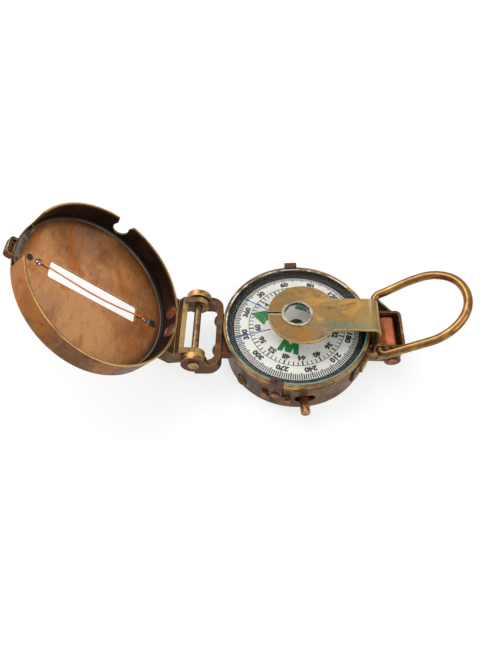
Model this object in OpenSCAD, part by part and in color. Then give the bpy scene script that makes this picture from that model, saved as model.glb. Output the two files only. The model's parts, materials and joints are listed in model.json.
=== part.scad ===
// Folding lensatic magnetic compass in aged brass, in millimetres, with +Z up.
// The origin is the centre of the case's underside. +X points to the lens bracket and the bail.
// The lid is hinged at -X and is drawn open, as it rests. The lid's own parts are drawn closed
// and then swung open about the hinge pin.

/* [Case] */
// Outer radius of the round case
case_r = 24.6; // [23.5:0.1:26]
// Height of the case wall
case_h = 11.2; // [10.9:0.1:12.5]
// Thickness of the case wall
case_wall = 1.2; // [0.8:0.1:1.5]
// Thickness of the case floor
case_floor = 1.2; // [0.8:0.1:1.3]

/* [Bezel and glass] */
// How far the bezel stands out past the case wall
bezel_over = 0.6; // [0.4:0.1:1]
// Height of the bezel ring
bezel_h = 3.45; // [3.3:0.05:4]
// Width of the bezel's top lip outside the glass
lip_w = 0.85; // [0.6:0.05:1]
// Width of the seat that the glass rests on
seat_w = 0.8; // [0.5:0.1:1]
// Thickness of that seat
seat_t = 0.5; // [0.3:0.1:0.6]
// Thickness of the glass
glass_t = 2; // [1.6:0.1:2.1]
// How far the glass lies below the bezel's lip
glass_sink = 0.3; // [0.1:0.1:0.4]
// Width of the bevel round the glass
glass_bevel = 0.5; // [0.3:0.1:0.8]

/* [Compass card] */
// Width of the black ring round the card
ring_w = 2.25; // [1.6:0.05:3]
// Thickness of the compass card
card_t = 0.3; // [0.2:0.05:0.4]
// Gap between the card's edge and the chapter ring
card_gap = 0.35; // [0.2:0.05:0.6]
// Thickness of the chapter ring round the card
ring_t = 0.6; // [0.4:0.05:0.7]
// Direction of the card's north in plan
north_deg = 160.6; // [0:0.1:360]
// Radius of the card's hub
hub_r = 2.6; // [2.2:0.1:4]
// Height of the card's hub
hub_h = 0.3; // [0.2:0.05:0.35]
// Radius of the jewel cap
jewel_r = 1.6; // [1.4:0.05:1.9]
// Length of each magnet
magnet_l = 26; // [18:1:34]
// Width of each magnet
magnet_w = 2.4; // [1.6:0.1:3.4]
// Height of each magnet
magnet_h = 1.3; // [0.8:0.1:1.4]
// Distance of each magnet's middle line from the pivot
magnet_off = 4.2; // [3.9:0.1:7]

/* [Pivot and card lock] */
// Length of the plate under the pivot post
plate_l = 34; // [26:1:40]
// Width of that plate
plate_w = 7; // [6:0.5:12]
// Thickness of that plate
plate_t = 0.9; // [0.6:0.1:1.1]
// Radius of the pivot post's foot
foot_r = 4.2; // [3.4:0.1:6]
// Radius of the post where the lever turns on it
shoulder_r = 2.3; // [1.8:0.1:2.6]
// Radius of the post inside the lifter
stem_r = 1.2; // [0.9:0.05:1.4]
// Outer radius of the lever's ring
lever_ring_r = 5; // [4:0.1:8]
// Thickness of the lever
lever_t = 1.2; // [0.8:0.1:1.4]
// Width of the lever's arm
lever_w = 4.4; // [3.6:0.1:6]
// Height of the lock pin's axis above the table
lock_z = 5.5; // [5.3:0.1:5.8]
// Radius of the lock pin
lock_r = 1.6; // [1.2:0.05:1.6]
// How far the lock pin stands out of the case
lock_out = 5.5; // [3.5:0.1:9]
// Direction of the lock pin in plan
lock_deg = -84.7; // [-88:0.1:-80]
// Half height of the slot that the lock pin slides in
slot_half = 1.9; // [1.7:0.05:2.2]
// Start of the lock pin's slot round the case
slot_from = -92.2; // [-93:0.1:-92]
// End of the lock pin's slot round the case
slot_to = -75.4; // [-76:0.1:-70]
// Radius of the card lifter's disc
lifter_r = 5; // [4:0.5:8]
// Thickness of the card lifter's leaf
lifter_t = 0.5; // [0.3:0.1:0.6]
// Width of the card lifter's leaf
lifter_w = 4.4; // [3.6:0.1:6]
// Half length of the card lifter's foot
lifter_foot = 2.2; // [1.8:0.1:2.8]
// Gap between the lifter at rest and the magnets
lifter_gap = 0.7; // [0.6:0.05:0.9]

/* [Lid hinge] */
// Distance of the hinge pin's axis from the lid's skirt
hinge_off = 5.85; // [5.6:0.05:7]
// Height of the hinge pin above the table
hinge_z = 12.9; // [12.6:0.1:13.4]
// Sideways place of the hinge's middle
hinge_y = -2.1; // [-2.4:0.1:-1.6]
// Angle that the lid is open at rest
lid_open = 133.3; // [100:0.1:150]
// Radius of the hinge pin
pin_r = 1.25; // [0.9:0.05:1.4]
// Whole width of the case's hinge bracket
yoke_w = 28.6; // [27:0.1:30]
// Thickness of the case's hinge bracket
yoke_t = 2.1; // [1.8:0.1:2.2]
// Lowest edge of the case's hinge bracket
yoke_low = 7.4; // [6.6:0.1:8]
// Height of the case's hinge bracket's strap
yoke_h = 5.2; // [4.6:0.1:5.6]
// Radius of its corners, outside
yoke_corner = 4.5; // [3.5:0.1:5]
// Radius of its ears
yoke_ear_r = 4.3; // [3.8:0.1:4.4]
// Thickness of its ears
yoke_ear_t = 2.4; // [2:0.1:2.5]
// Gap between each ear of the case and the lid's ear inside it
ear_gap = 0.3; // [0.2:0.05:0.5]
// Thickness of the lid's ears
lid_ear_t = 2; // [1.6:0.1:2.2]
// Radius of the lid's ears
lid_ear_r = 3.6; // [3.2:0.1:4]
// Thickness of the web that joins the lid's ears
lid_web_t = 2; // [1.6:0.1:2.2]
// How far the lid's bracket reaches up the skirt
lid_web_top = 9; // [8:0.1:9.5]
// Lowest edge of the lid's bracket above the pin's axis
lid_web_low = 1.1; // [1:0.1:2]
// Distance between the dome rivets of the case's bracket
yoke_rivet_gap = 12.3; // [10:0.1:13]
// Head radius of those rivets
yoke_rivet_r = 2.2; // [1.8:0.1:2.5]
// Distance between the rivets in the lid's skirt
lid_rivet_gap = 7.6; // [6:0.1:10]
// Head radius of those rivets
lid_rivet_r = 2.3; // [1.9:0.1:2.6]

/* [Lid] */
// Outer radius of the lid
lid_r = 28.5; // [28:0.1:29.5]
// Height of the lid's rim above the hinge pin when closed
lid_rim = 3.3; // [3.1:0.1:4]
// Height of the lid from its rim to its back
lid_h = 8.8; // [8.4:0.1:10]
// Thickness of the lid's skirt
lid_wall = 0.7; // [0.5:0.05:1]
// Thickness of the lid's floor
lid_floor = 0.9; // [0.7:0.05:1.2]
// Radius of the edge round the lid's back
lid_edge = 1.2; // [1:0.1:2]
// Length of the sighting slot
sight_l = 32.9; // [26:0.1:34]
// Width of the sighting slot
sight_w = 6.5; // [5:0.1:8]
// Corner radius of the sighting slot
sight_corner = 0.8; // [0.5:0.1:1.5]
// Distance of each wire hole from the lid's centre
wire_hole = 20.1; // [19:0.1:21]
// Radius of the wire holes
wire_hole_r = 0.95; // [0.7:0.05:1.1]
// Distance of each wire plug from the lid's centre
plug_off = 23.2; // [22.6:0.1:24]
// Radius of the wire plugs
plug_r = 1; // [0.8:0.05:1.2]
// Radius of the sighting wire
sight_wire_r = 0.3; // [0.2:0.01:0.35]
// Start of the cut-out for the lens arm, round the lid
cut_from = -14.5; // [-20:0.5:-14]
// End of that cut-out
cut_to = 25; // [20:0.5:28]
// Direction of the notch in the lid's side
notch_deg = 95; // [80:0.5:110]
// Radius of the notch's round end
notch_r = 2.7; // [2.2:0.1:3]
// Depth of that round end's centre below the rim
notch_deep = 3.8; // [3:0.1:4.5]
// Width of the lid catch
catch_w = 6.5; // [5:0.1:8]
// How far the lid catch stands out
catch_out = 2.3; // [1.8:0.1:3]
// Height of the lid catch
catch_h = 2.9; // [2:0.1:3]
// Thickness of the lid catch's strap
catch_t = 0.7; // [0.5:0.05:0.8]
// How far the catch ends short of the lid's back
catch_set = 0.4; // [0.3:0.05:0.8]
// Place of the catch's middle along Y
catch_y = -0.75; // [-1.5:0.05:1.5]

/* [Lens arm] */
// Height of the lens arm's top above the table
arm_top = 20; // [19.2:0.1:20.6]
// Thickness of the lens arm's sheet
arm_t = 0.9; // [0.7:0.05:1.1]
// Width of the lens arm
arm_w = 13; // [11:0.1:13.4]
// Radius of the lens arm's round head
head_r = 11.8; // [10:0.1:12.5]
// Place of the head's centre along X
head_x = 1.9; // [0:0.1:4]
// Radius of the fillets between head and arm
neck_r = 2; // [1.5:0.1:4]
// Gap between the bezel and the lens arm's leg
arm_gap = 1.8; // [1.5:0.1:2.2]
// Outer radius of the arm's bend
bend_r = 3.3; // [2.5:0.1:4]
// How far the arm's hinge pin lies inside the leg's inner face
knuckle_off = 0.1; // [0:0.05:0.3]
// Height of the arm's hinge pin
knuckle_z = 8.9; // [8.6:0.1:9]
// Radius of the arm's knuckle
knuckle_r = 1.6; // [1.4:0.05:1.7]
// Radius of the arm's hinge pin
knuckle_pin_r = 0.75; // [0.6:0.05:0.9]
// Clear radius of the lens
lens_r = 4.4; // [3.6:0.05:4.8]
// Wall of the lens ring
lens_wall = 0.4; // [0.3:0.05:0.6]
// Width of the lens ring's flange
lens_flange = 0.45; // [0.3:0.05:0.8]
// Height of the lens ring
lens_ring_h = 2.4; // [2:0.1:3]
// Thickness of the lens at its middle
lens_t = 1.5; // [1:0.1:1.7]
// Length of the sighting slit in the head
slit_l = 5; // [3:0.1:5.5]
// Width of that slit
slit_w = 1; // [0.8:0.1:1.6]

/* [Lens bracket] */
// Outer width of the lens bracket
frame_w = 15.2; // [14.8:0.1:16]
// Thickness of the lens bracket's strap
frame_t = 0.8; // [0.6:0.05:0.9]
// Thickness of the bracket's bottom web
frame_web = 0.45; // [0.3:0.05:0.45]
// Distance from the cross pin to the bracket's outer end
frame_over = 3.8; // [3.2:0.1:5]
// Radius of the bracket's corners, outside
frame_corner = 1.8; // [1.2:0.1:3]
// Top of the lens bracket
frame_top = 11.9; // [11.7:0.1:12.1]
// Lowest edge of the lens bracket
frame_low = 4.2; // [3.5:0.1:4.4]
// End of the bracket's tabs round the case wall
tab_deg = 42; // [34:1:44]
// Thickness of the tabs
tab_t = 1; // [0.8:0.05:1.2]
// Inner distance between the bail lugs
lug_in = 17.8; // [17.6:0.1:18.2]
// Thickness of the bail lugs
lug_t = 0.9; // [0.7:0.05:1]
// End of the bail lugs' tabs round the case wall
lug_deg = 34; // [31:0.5:38]
// Distance from the lens arm's hinge pin to the cross pin
cross_off = 6.1; // [5.6:0.1:7]
// Height of the cross pin
cross_z = 6.5; // [6.2:0.1:6.8]
// Radius of the cross pin
cross_r = 1; // [0.8:0.05:1.1]
// Thickness of the leaf spring
leaf_t = 0.5; // [0.4:0.05:0.6]
// Height of the leaf spring's top
leaf_top = 9.8; // [9.4:0.1:10]
// How far the leaf spring dips towards the lens arm
leaf_dip = 1.35; // [1.35:0.05:1.5]
// How far the lens arm folds out from its place over the glass
arm_open = 60; // [40:1:60]

/* [Bail] */
// Radius of the bail's wire
bail_wire_r = 1.45; // [1.2:0.05:1.5]
// Distance of the bail's legs from the middle
bail_half = 12.5; // [12.4:0.1:13.5]
// Distance of the bail's pivot outside the bezel
bail_off = 2.4; // [2.2:0.1:2.8]
// Height of the bail's pivot
bail_z = 13.9; // [13.6:0.1:13.9]
// Length from the pivot to the bail's tip
bail_l = 30.7; // [26:0.1:36]
// Radius of the bail's side arcs
bail_side_r = 15.5; // [14:0.5:20]
// Angle of each side arc
bail_side_deg = 40; // [20:1:45]
// Angle of the bail above the table at rest
bail_deg = 31.5; // [25:0.5:60]
// Radius of the bail's ends inside the lugs
bail_end_r = 0.95; // [0.8:0.05:1.05]
// Radius of the ears that hold the bail
bail_ear_r = 1.95; // [1.6:0.05:1.95]

/* [Clips and small parts] */
// Direction of the near bezel clip
clip_near_deg = -106.2; // [-112:0.1:-104]
// Direction of the far bezel clip
clip_far_deg = 93.9; // [80:0.1:110]
// Width of the bezel clips
clip_w = 4.3; // [3.5:0.1:5]
// Thickness of the bezel clips
clip_t = 0.7; // [0.5:0.05:0.8]
// Lowest point of the near clip
clip_near_low = 4.3; // [3.8:0.1:5]
// Lowest point of the far clip
clip_far_low = 6; // [5:0.1:6.4]
// Height of the clip screws
clip_screw_z = 9.2; // [9:0.1:9.4]
// Start of the click spring round the case
click_from = -118.5; // [-122:0.5:-116]
// End of the click spring round the case
click_to = -97; // [-99:0.1:-96.6]
// Thickness of the click spring
click_t = 0.6; // [0.4:0.05:0.6]
// Height of the click spring
click_h = 3.2; // [2.6:0.1:3.3]
// Direction of the dome stud on the case wall
stud_deg = -138.9; // [-145:0.1:-130]
// Radius of the dome stud
stud_r = 2.2; // [1.6:0.1:2.4]
// Head radius of the clip screws
clip_screw_r = 1.3; // [1:0.05:1.6]
// Head radius of the rivets in the lens bracket's tabs
tab_head_r = 1.2; // [0.9:0.05:1.5]
// Head radius of the click spring's stud
spring_head_r = 1.45; // [1.2:0.05:1.6]
// Head radius of the pivot plate's screws
plate_screw_r = 1.5; // [1.2:0.05:2]
// Height of the screw and rivet heads
small_head_h = 0.5; // [0.3:0.05:0.7]
// Radius of the screws' shanks in the case and the clips
clip_shank_r = 0.7; // [0.5:0.05:0.9]
// Radius of the rivets' shanks in the lens bracket's tabs
tab_rivet_r = 0.7; // [0.5:0.05:0.9]
// Radius of the studs' shanks in the case wall
stud_shank_r = 0.8; // [0.6:0.05:1]
// Chamfer round the lock pin's end
pin_chamfer = 0.3; // [0.1:0.05:0.5]

/* [Fits] */
// Radial clearance of a pin that turns in its bore
run_fit = 0.05; // [0.03:0.01:0.08]
// Radial clearance of a rivet or screw in its hole
rivet_fit = 0.04; // [0.02:0.01:0.06]
// Gap between the case wall and the turning bezel
bezel_gap = 0.15; // [0.1:0.05:0.2]
// Side gap between moving faces
side_gap = 0.3; // [0.2:0.05:0.35]

/* [Hidden] */
$fn = 64;

eps = 0.01;
far = 60;
// Colours
brass = "#8a6a3c";
dark_brass = "#5b4226";
copper = "#a5623a";
steel = "#8d8f93";
black = "#1d1d1f";
white = "#dcdcd6";

// Bezel, glass and chapter ring, from the case wall up
bezel_r = case_r + bezel_over;
bezel_z = case_h + bezel_gap;
bezel_top = bezel_z + bezel_h;
glass_hole = bezel_r - lip_w;
glass_r = glass_hole - rivet_fit;
glass_top = bezel_top - glass_sink;
glass_low = glass_top - glass_t;
seat_r = glass_hole - seat_w;
seat_low = glass_low - seat_t;
ring_out = glass_hole - side_gap;
ring_in = ring_out - ring_w;
card_r = ring_in - card_gap;
ring_top = case_h + ring_t;

// Card, pivot and lock, from the chapter ring down
card_top = ring_top - 0.1;
card_low = card_top - card_t;
magnet_low = card_low - magnet_h;
jewel_low = magnet_low + 0.2;
jewel_top = card_top + hub_h + 0.1;
jewel_bore = 1;
point_gap = 0.15;
point_top = card_low - 0.1 - point_gap;
neck_r_post = 0.5;
lifter_top = magnet_low - lifter_gap;
stem_top = lifter_top + lifter_gap - 0.3;
lever_z = lock_z - lever_t / 2;
lifter_low = lever_z + lever_t + 0.65;
plate_z = case_floor;
foot_z = plate_z + plate_t;
foot_top = lever_z - 0.1;
shoulder_top = lever_z + lever_t + 0.1;
case_in = case_r - case_wall;
lever_end = case_in - 3.2;
lock_reach = case_r + lock_out;
spigot_l = 2.6;
spigot_r = lock_r - 0.45;
plate_screw_x = plate_l / 2 - 3.5;
slot_end = asin(slot_half / case_r);

// Lid hinge
hinge_x = lid_r + hinge_off;
yoke_x = bezel_r + side_gap + yoke_t;
yoke_near = hinge_y - yoke_w / 2;
yoke_far = hinge_y + yoke_w / 2;
ear_near = yoke_near + yoke_ear_t + ear_gap;
ear_far = yoke_far - yoke_ear_t - ear_gap;
yoke_rivet_z = (yoke_low + case_h) / 2;
pin_head_r = pin_r + 0.6;
pin_head_h = 0.5;

// Lid, in its closed place: a is measured from the hinge pin, b above it
lid_back = lid_rim + lid_h;
lid_in = lid_back - lid_floor;
lid_web_a = hinge_x - lid_r - 0.05;
lid_inner_r = lid_r - lid_wall;
lid_rivet_mid = 0.6;
lid_shank_r = lid_rivet_r / 2 - rivet_fit;
rivet_b = lid_rim + 2.7;
stub_b = lid_in - 0.15;
wire_b = lid_in - sight_wire_r - 0.1;
plug_head_h = 0.6;
catch_b = lid_back - catch_h;

// Lens arm and its bracket
arm_reach = bezel_r + arm_gap + arm_t;
knuckle_x = arm_reach - arm_t - knuckle_off;
cross_x = knuckle_x + cross_off;
frame_reach = cross_x + frame_over;
bail_x = bezel_r + bail_off;
arm_low = arm_top - arm_t;
lens_hole = lens_r + lens_wall + rivet_fit;
lens_ring_top = arm_top + 0.35;
lens_ring_low = lens_ring_top - lens_ring_h;
frame_in = frame_w / 2 - frame_t;
lug_y = lug_in / 2;
lug_out = lug_y + lug_t;
tab_top = case_h - 0.2;
cross_head_r = cross_r + 0.6;
rail_x = case_r + 0.3;

// Bail
hook_y = lug_out + side_gap;
hook_r = bail_half - hook_y;
tip_r = (bail_half - bail_side_r * (1 - cos(bail_side_deg))) / cos(bail_side_deg);
side_x = bail_l - tip_r - (bail_side_r - tip_r) * sin(bail_side_deg);
tip_deg = 90 - bail_side_deg;
joint_gap = 0.05;

// Clips
clip_x = bezel_r + side_gap;
clip_out = clip_x + clip_t;
clip_lug_in = glass_r - 0.2;
click_low = lock_z - 0.1 - click_h / 2;
click_z = click_low + click_h / 2;
click_stud_deg = click_from + 3.5;
stud_z = stud_r + 1.2;

// Shanks and rivets in the case wall
yoke_shank_r = yoke_rivet_r / 2;
tab_rivet_deg = tab_deg - 4;
tab_rivet_z = (frame_low + tab_top) / 2 + 0.6;

// Turns and places a thing that points out of the case wall
module on_wall(deg, z) {
    rotate([0, 0, deg]) translate([0, 0, z]) rotate([0, 90, 0]) children();
}

// Places a thing that is drawn in the lid's closed frame, with the pin as its origin
module in_lid() {
    translate([-hinge_x, 0, hinge_z]) rotate([0, -lid_open, 0]) children();
}

// A dome of radius r and height h that stands on the XY plane
module dome(r, h) {
    ball = (r * r + h * h) / (2 * h);
    intersection() {
        translate([0, 0, h - ball]) sphere(ball);
        cylinder(r = r, h = h);
    }
}

// A rivet with a dome head on the XY plane and its shank below it
module rivet(head_r, head_h, shank_r, shank_l) {
    dome(head_r, head_h);
    translate([0, 0, -shank_l]) cylinder(r = shank_r, h = shank_l + eps);
}

// A screw with a slotted flat head on the XY plane and its shank below it
module slot_screw(head_r, head_h, shank_r, shank_l, turn) {
    difference() {
        cylinder(r = head_r, h = head_h);
        rotate([0, 0, turn]) translate([-head_r, -head_r * 0.12, head_h * 0.5])
            cube([2 * head_r, head_r * 0.24, head_h]);
    }
    translate([0, 0, -shank_l]) cylinder(r = shank_r, h = shank_l + eps);
}

// A flat shape of the XZ plane, thick along Y from y0 to y1
module upright(y0, y1) {
    translate([0, y1, 0]) rotate([90, 0, 0]) linear_extrude(y1 - y0) children();
}

// A sector of a ring round the case's axis
module ring_sector(r_in, r_out, z_low, z_top, deg_from, deg_to) {
    rotate([0, 0, deg_from]) rotate_extrude(angle = deg_to - deg_from)
        translate([r_in, z_low]) square([r_out - r_in, z_top - z_low]);
}

// A rounded rectangle round the origin
module round_rect(l, w, r) {
    square([l - 2 * r, w], center = true);
    square([l, w - 2 * r], center = true);
    for (x = [-1, 1]) for (y = [-1, 1])
        translate([x * (l / 2 - r), y * (w / 2 - r)]) circle(r);
}

// A bore through the case wall and what lies on it, for a shank of radius r
module wall_bore(deg, z, r) {
    on_wall(deg, z) translate([0, 0, case_in - 2]) cylinder(r = r + rivet_fit, h = far / 10);
}

// The bores through the hinge bracket and the wall behind it
module yoke_bores() {
    for (s = [-1, 1])
        translate([-yoke_x - 1, hinge_y + s * yoke_rivet_gap / 2, yoke_rivet_z]) rotate([0, 90, 0])
            cylinder(r = yoke_shank_r + rivet_fit, h = case_r / 2);
}

module wall_bores() {
    yoke_bores();
    for (d = [clip_near_deg, clip_far_deg]) wall_bore(d, clip_screw_z, clip_shank_r);
    for (s = [-1, 1]) wall_bore(s * tab_rivet_deg, tab_rivet_z, tab_rivet_r);
    wall_bore(click_stud_deg, click_z, stud_shank_r);
    wall_bore(stud_deg, stud_z, stud_shank_r);
}

// The slot in the wall that the lock pin slides in
module lock_slot() {
    flat_half = slot_half - 0.05;
    ring_sector(case_in - 1, case_r + 1, lock_z - flat_half, lock_z + flat_half,
        slot_from + slot_end, slot_to - slot_end);
    for (d = [slot_from + slot_end, slot_to - slot_end])
        on_wall(d, lock_z) translate([0, 0, case_in - 1]) cylinder(r = slot_half, h = case_wall + 2);
}

module base_case() {
    color(brass) difference() {
        cylinder(r = case_r, h = case_h, $fn = 180);
        translate([0, 0, case_floor]) cylinder(r = case_in, h = case_h, $fn = 180);
        wall_bores();
        lock_slot();
        for (s = [-1, 1]) translate([s * plate_screw_x, 0, -eps])
            cylinder(r = clip_shank_r + rivet_fit, h = case_floor + 1);
    }
}

module chapter_ring() {
    color(black) translate([0, 0, case_h]) difference() {
        cylinder(r = ring_out, h = ring_t, $fn = 180);
        translate([0, 0, -eps]) cylinder(r = ring_in, h = ring_t + 1, $fn = 180);
    }
}

module pivot_plate() {
    color(dark_brass) difference() {
        translate([0, 0, plate_z]) linear_extrude(plate_t) {
            round_rect(plate_l, plate_w, 1.5);
            circle(foot_r + 1.5);
        }
        for (s = [-1, 1]) translate([s * plate_screw_x, 0, 0])
            cylinder(r = clip_shank_r + rivet_fit, h = far);
        translate([0, 0, -eps]) cylinder(r = shoulder_r + rivet_fit, h = far);
    }
}

module pivot_plate_screws() {
    lift = [0, lifter_t];
    color(steel) for (i = [0, 1])
        translate([(2 * i - 1) * plate_screw_x, 0, plate_z + plate_t + lift[i]])
            slot_screw(plate_screw_r, small_head_h, clip_shank_r, plate_t + case_floor * 0.8 + lift[i], 30);
}

module pivot_post() {
    color(steel) {
        translate([0, 0, foot_z]) cylinder(r = foot_r, h = foot_top - foot_z);
        translate([0, 0, plate_z]) cylinder(r = shoulder_r, h = shoulder_top - plate_z);
        cylinder_to(stem_r, shoulder_top - eps, stem_top);
        cylinder_to(neck_r_post, stem_top - eps, point_top - 0.5);
        translate([0, 0, point_top - 0.5]) cylinder(r1 = neck_r_post, r2 = 0.05, h = 0.5);
    }
}

// A cylinder of radius r between two heights
module cylinder_to(r, z_low, z_top) {
    translate([0, 0, z_low]) cylinder(r = r, h = z_top - z_low);
}

// One bezel clip, drawn at +X: a plate outside the bezel, a lug over it and a foot on the wall
module bezel_clip(low) {
    foot_half = 1.5;
    difference() {
        union() {
            translate([clip_x, 0, 0]) rotate([90, 0, 90]) linear_extrude(clip_t) {
                translate([-clip_w / 2, low + clip_w / 2])
                    square([clip_w, bezel_top + side_gap - low - clip_w / 2 + eps]);
                translate([0, low + clip_w / 2]) circle(clip_w / 2);
            }
            translate([clip_lug_in, -clip_w / 2, bezel_top + side_gap])
                cube([clip_out - clip_lug_in, clip_w, clip_t]);
            difference() {
                translate([case_in, -clip_w / 2, clip_screw_z - foot_half])
                    cube([clip_x - case_in + eps, clip_w, 2 * foot_half]);
                translate([0, 0, -eps]) cylinder(r = case_r, h = far, $fn = 180);
            }
        }
        translate([case_in, 0, clip_screw_z]) rotate([0, 90, 0])
            cylinder(r = clip_shank_r + rivet_fit, h = far / 10);
    }
}

module bezel_clip_near() {
    color(dark_brass) rotate([0, 0, clip_near_deg]) bezel_clip(clip_near_low);
}

module bezel_clip_far() {
    color(dark_brass) rotate([0, 0, clip_far_deg]) bezel_clip(clip_far_low);
}

module clip_screws() {
    color(copper) for (d = [clip_near_deg, clip_far_deg])
        on_wall(d, clip_screw_z) translate([0, 0, clip_out])
            slot_screw(clip_screw_r, small_head_h, clip_shank_r, clip_out - case_in - eps, 20);
}

// A leaf along the wall, with its free end rolled outwards
module click_spring() {
    roll_r = 0.85;
    roll_less = 0.1;
    color(copper) difference() {
        union() {
            ring_sector(case_r, case_r + click_t, click_low, click_low + click_h, click_from, click_to);
            rotate([0, 0, click_to]) translate([case_r + roll_r + 0.15, 0, click_low + roll_less])
                cylinder(r = roll_r, h = click_h - 2 * roll_less);
        }
        wall_bore(click_stud_deg, click_z, stud_shank_r);
    }
}

module click_spring_stud() {
    color(brass) on_wall(click_stud_deg, click_z)
        translate([0, 0, case_r + click_t + small_head_h / 4])
            slot_screw(spring_head_r, small_head_h, stud_shank_r, click_t + case_wall, 70);
}

module wall_stud() {
    stud_foot = 0.35;
    color(dark_brass) on_wall(stud_deg, stud_z) {
        translate([0, 0, case_r + stud_foot]) dome(stud_r, 1);
        translate([0, 0, case_r + stud_foot]) rotate([180, 0, 0]) cylinder(r = stud_shank_r, h = case_wall);
        difference() {
            translate([0, 0, case_in]) cylinder(r = stud_r, h = case_wall + stud_foot);
            rotate([0, -90, 0]) translate([0, 0, -far]) cylinder(r = case_r, h = 2 * far, $fn = 180);
        }
    }
}

// The case's hinge bracket: a strap bent in a U with an ear at each end
module hinge_yoke() {
    inner_corner = yoke_corner - yoke_t;
    color(brass) difference() {
        union() {
            translate([0, 0, yoke_low]) linear_extrude(yoke_h) difference() {
                yoke_plan(0);
                yoke_plan(1);
            }
            for (y = [yoke_near, yoke_far - yoke_ear_t]) upright(y, y + yoke_ear_t)
                translate([-hinge_x, hinge_z]) circle(yoke_ear_r);
            translate([-yoke_x + yoke_t - eps, hinge_y - yoke_rivet_gap / 2 - 2, yoke_low])
                cube([yoke_t + 2, yoke_rivet_gap + 4, tab_top - yoke_low]);
        }
        translate([0, 0, -eps]) cylinder(r = case_r, h = case_h + 2 * eps, $fn = 180);
        translate([0, 0, case_h]) cylinder(r = bezel_r + side_gap, h = far, $fn = 180);
        upright(-far, far) translate([-hinge_x, hinge_z]) circle(pin_r + rivet_fit);
        yoke_bores();
    }
}

// Plan of that bracket, full (0) or its open inside (1), with round corners towards the case
module yoke_plan(inside) {
    t = inside * yoke_ear_t;
    r = yoke_corner - inside * yoke_t;
    x_web = -yoke_x + (1 - inside) * yoke_t;
    x_open = -hinge_x - inside * far;
    y0 = yoke_near + t;
    y1 = yoke_far - t;
    translate([x_open, y0]) square([x_web - r - x_open, y1 - y0]);
    translate([x_web - r - eps, y0 + r]) square([r + eps, y1 - y0 - 2 * r]);
    for (y = [y0 + r, y1 - r]) translate([x_web - r, y]) circle(r);
}

module hinge_yoke_rivets() {
    color(black) for (s = [-1, 1])
        translate([-yoke_x, hinge_y + s * yoke_rivet_gap / 2, yoke_rivet_z]) rotate([0, -90, 0])
            rivet(yoke_rivet_r, 1.2, yoke_shank_r, yoke_x - case_in + 0.8);
}

module hinge_pin() {
    color(brass) {
        upright(yoke_near - pin_head_h, yoke_far + pin_head_h)
            translate([-hinge_x, hinge_z]) circle(pin_r);
        for (y = [yoke_near - pin_head_h, yoke_far]) upright(y, y + pin_head_h)
            translate([-hinge_x, hinge_z]) circle(pin_head_r);
    }
}

// The lens bracket: a strap bent in a U, with tabs that follow the case wall
module lens_bracket() {
    rail_l = frame_reach - frame_corner - rail_x;
    color(brass) difference() {
        union() {
            translate([0, 0, frame_low]) difference() {
                linear_extrude(frame_top - frame_low) frame_plan(frame_w / 2, frame_reach, frame_corner);
                translate([0, 0, frame_web]) linear_extrude(frame_top)
                    frame_plan(frame_in, frame_reach - frame_t, frame_corner - frame_t);
            }
            for (s = [0, 1]) mirror([0, s, 0])
                ring_sector(case_r, case_r + tab_t, frame_low, tab_top,
                    asin((frame_in + frame_t / 2) / case_r), tab_deg);
        }
        translate([0, 0, -eps]) cylinder(r = case_r, h = case_h + 2 * eps, $fn = 180);
        translate([0, 0, tab_top]) cylinder(r = bezel_r + side_gap, h = far, $fn = 180);
        upright(-far, far) translate([cross_x, cross_z]) circle(cross_r + rivet_fit);
        upright(-far, far) translate([knuckle_x, knuckle_z]) circle(knuckle_pin_r + rivet_fit);
        for (s = [-1, 1]) wall_bore(s * tab_rivet_deg, tab_rivet_z, tab_rivet_r);
    }
}

// Plan of the lens bracket's U, filled, with round corners at its outer end
module frame_plan(half, reach, corner) {
    x0 = rail_x - 2;
    translate([x0, -half]) square([reach - corner - x0, 2 * half]);
    translate([x0, -half + corner]) square([reach - x0, 2 * (half - corner)]);
    for (s = [-1, 1]) translate([reach - corner, s * (half - corner)]) circle(corner);
}

// One bail lug, drawn on the far side: a plate with the bail's ear, the cross pin's eye and a wall tab
module bail_lug() {
    eye_r = 2.8;
    plate_x = sqrt(pow(case_r + tab_t, 2) - pow(lug_y, 2));
    difference() {
        union() {
            upright(lug_y, lug_out) {
                translate([bail_x, bail_z]) circle(bail_ear_r);
                translate([cross_x, cross_z]) circle(eye_r);
                polygon([
                    [plate_x - 1, cross_z - 0.2],
                    [cross_x, cross_z - eye_r * 0.2],
                    [cross_x + eye_r * 0.8, cross_z + eye_r * 0.6],
                    [bail_x + bail_ear_r * 0.87, bail_z + bail_ear_r * 0.5],
                    [bail_x - bail_ear_r, bail_z],
                    [bail_x - bail_ear_r, tab_top],
                    [plate_x - 1, tab_top]
                ]);
            }
            ring_sector(case_r + tab_t, case_r + tab_t + lug_t, cross_z + 0.1, tab_top - 0.1,
                asin((lug_y + lug_t / 2) / (case_r + tab_t)), lug_deg);
        }
        translate([0, 0, -eps]) cylinder(r = case_r + tab_t, h = tab_top + 2 * eps, $fn = 180);
        upright(-far, far) translate([bail_x, bail_z]) circle(bail_end_r + run_fit);
        upright(-far, far) translate([cross_x, cross_z]) circle(cross_r + rivet_fit);
    }
}

module bail_lug_near() {
    color(dark_brass) mirror([0, 1, 0]) bail_lug();
}

module bail_lug_far() {
    color(dark_brass) bail_lug();
}

module bracket_cross_pin() {
    head_h = 0.5;
    color(copper) {
        upright(-lug_out, lug_out) translate([cross_x, cross_z]) circle(cross_r);
        for (y = [-lug_out - head_h, lug_out]) upright(y, y + head_h)
            translate([cross_x, cross_z]) circle(cross_head_r);
        for (y = [-lug_y, frame_w / 2]) upright(y, y + lug_y - frame_w / 2)
            translate([cross_x, cross_z]) circle(cross_head_r);
    }
}

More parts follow.
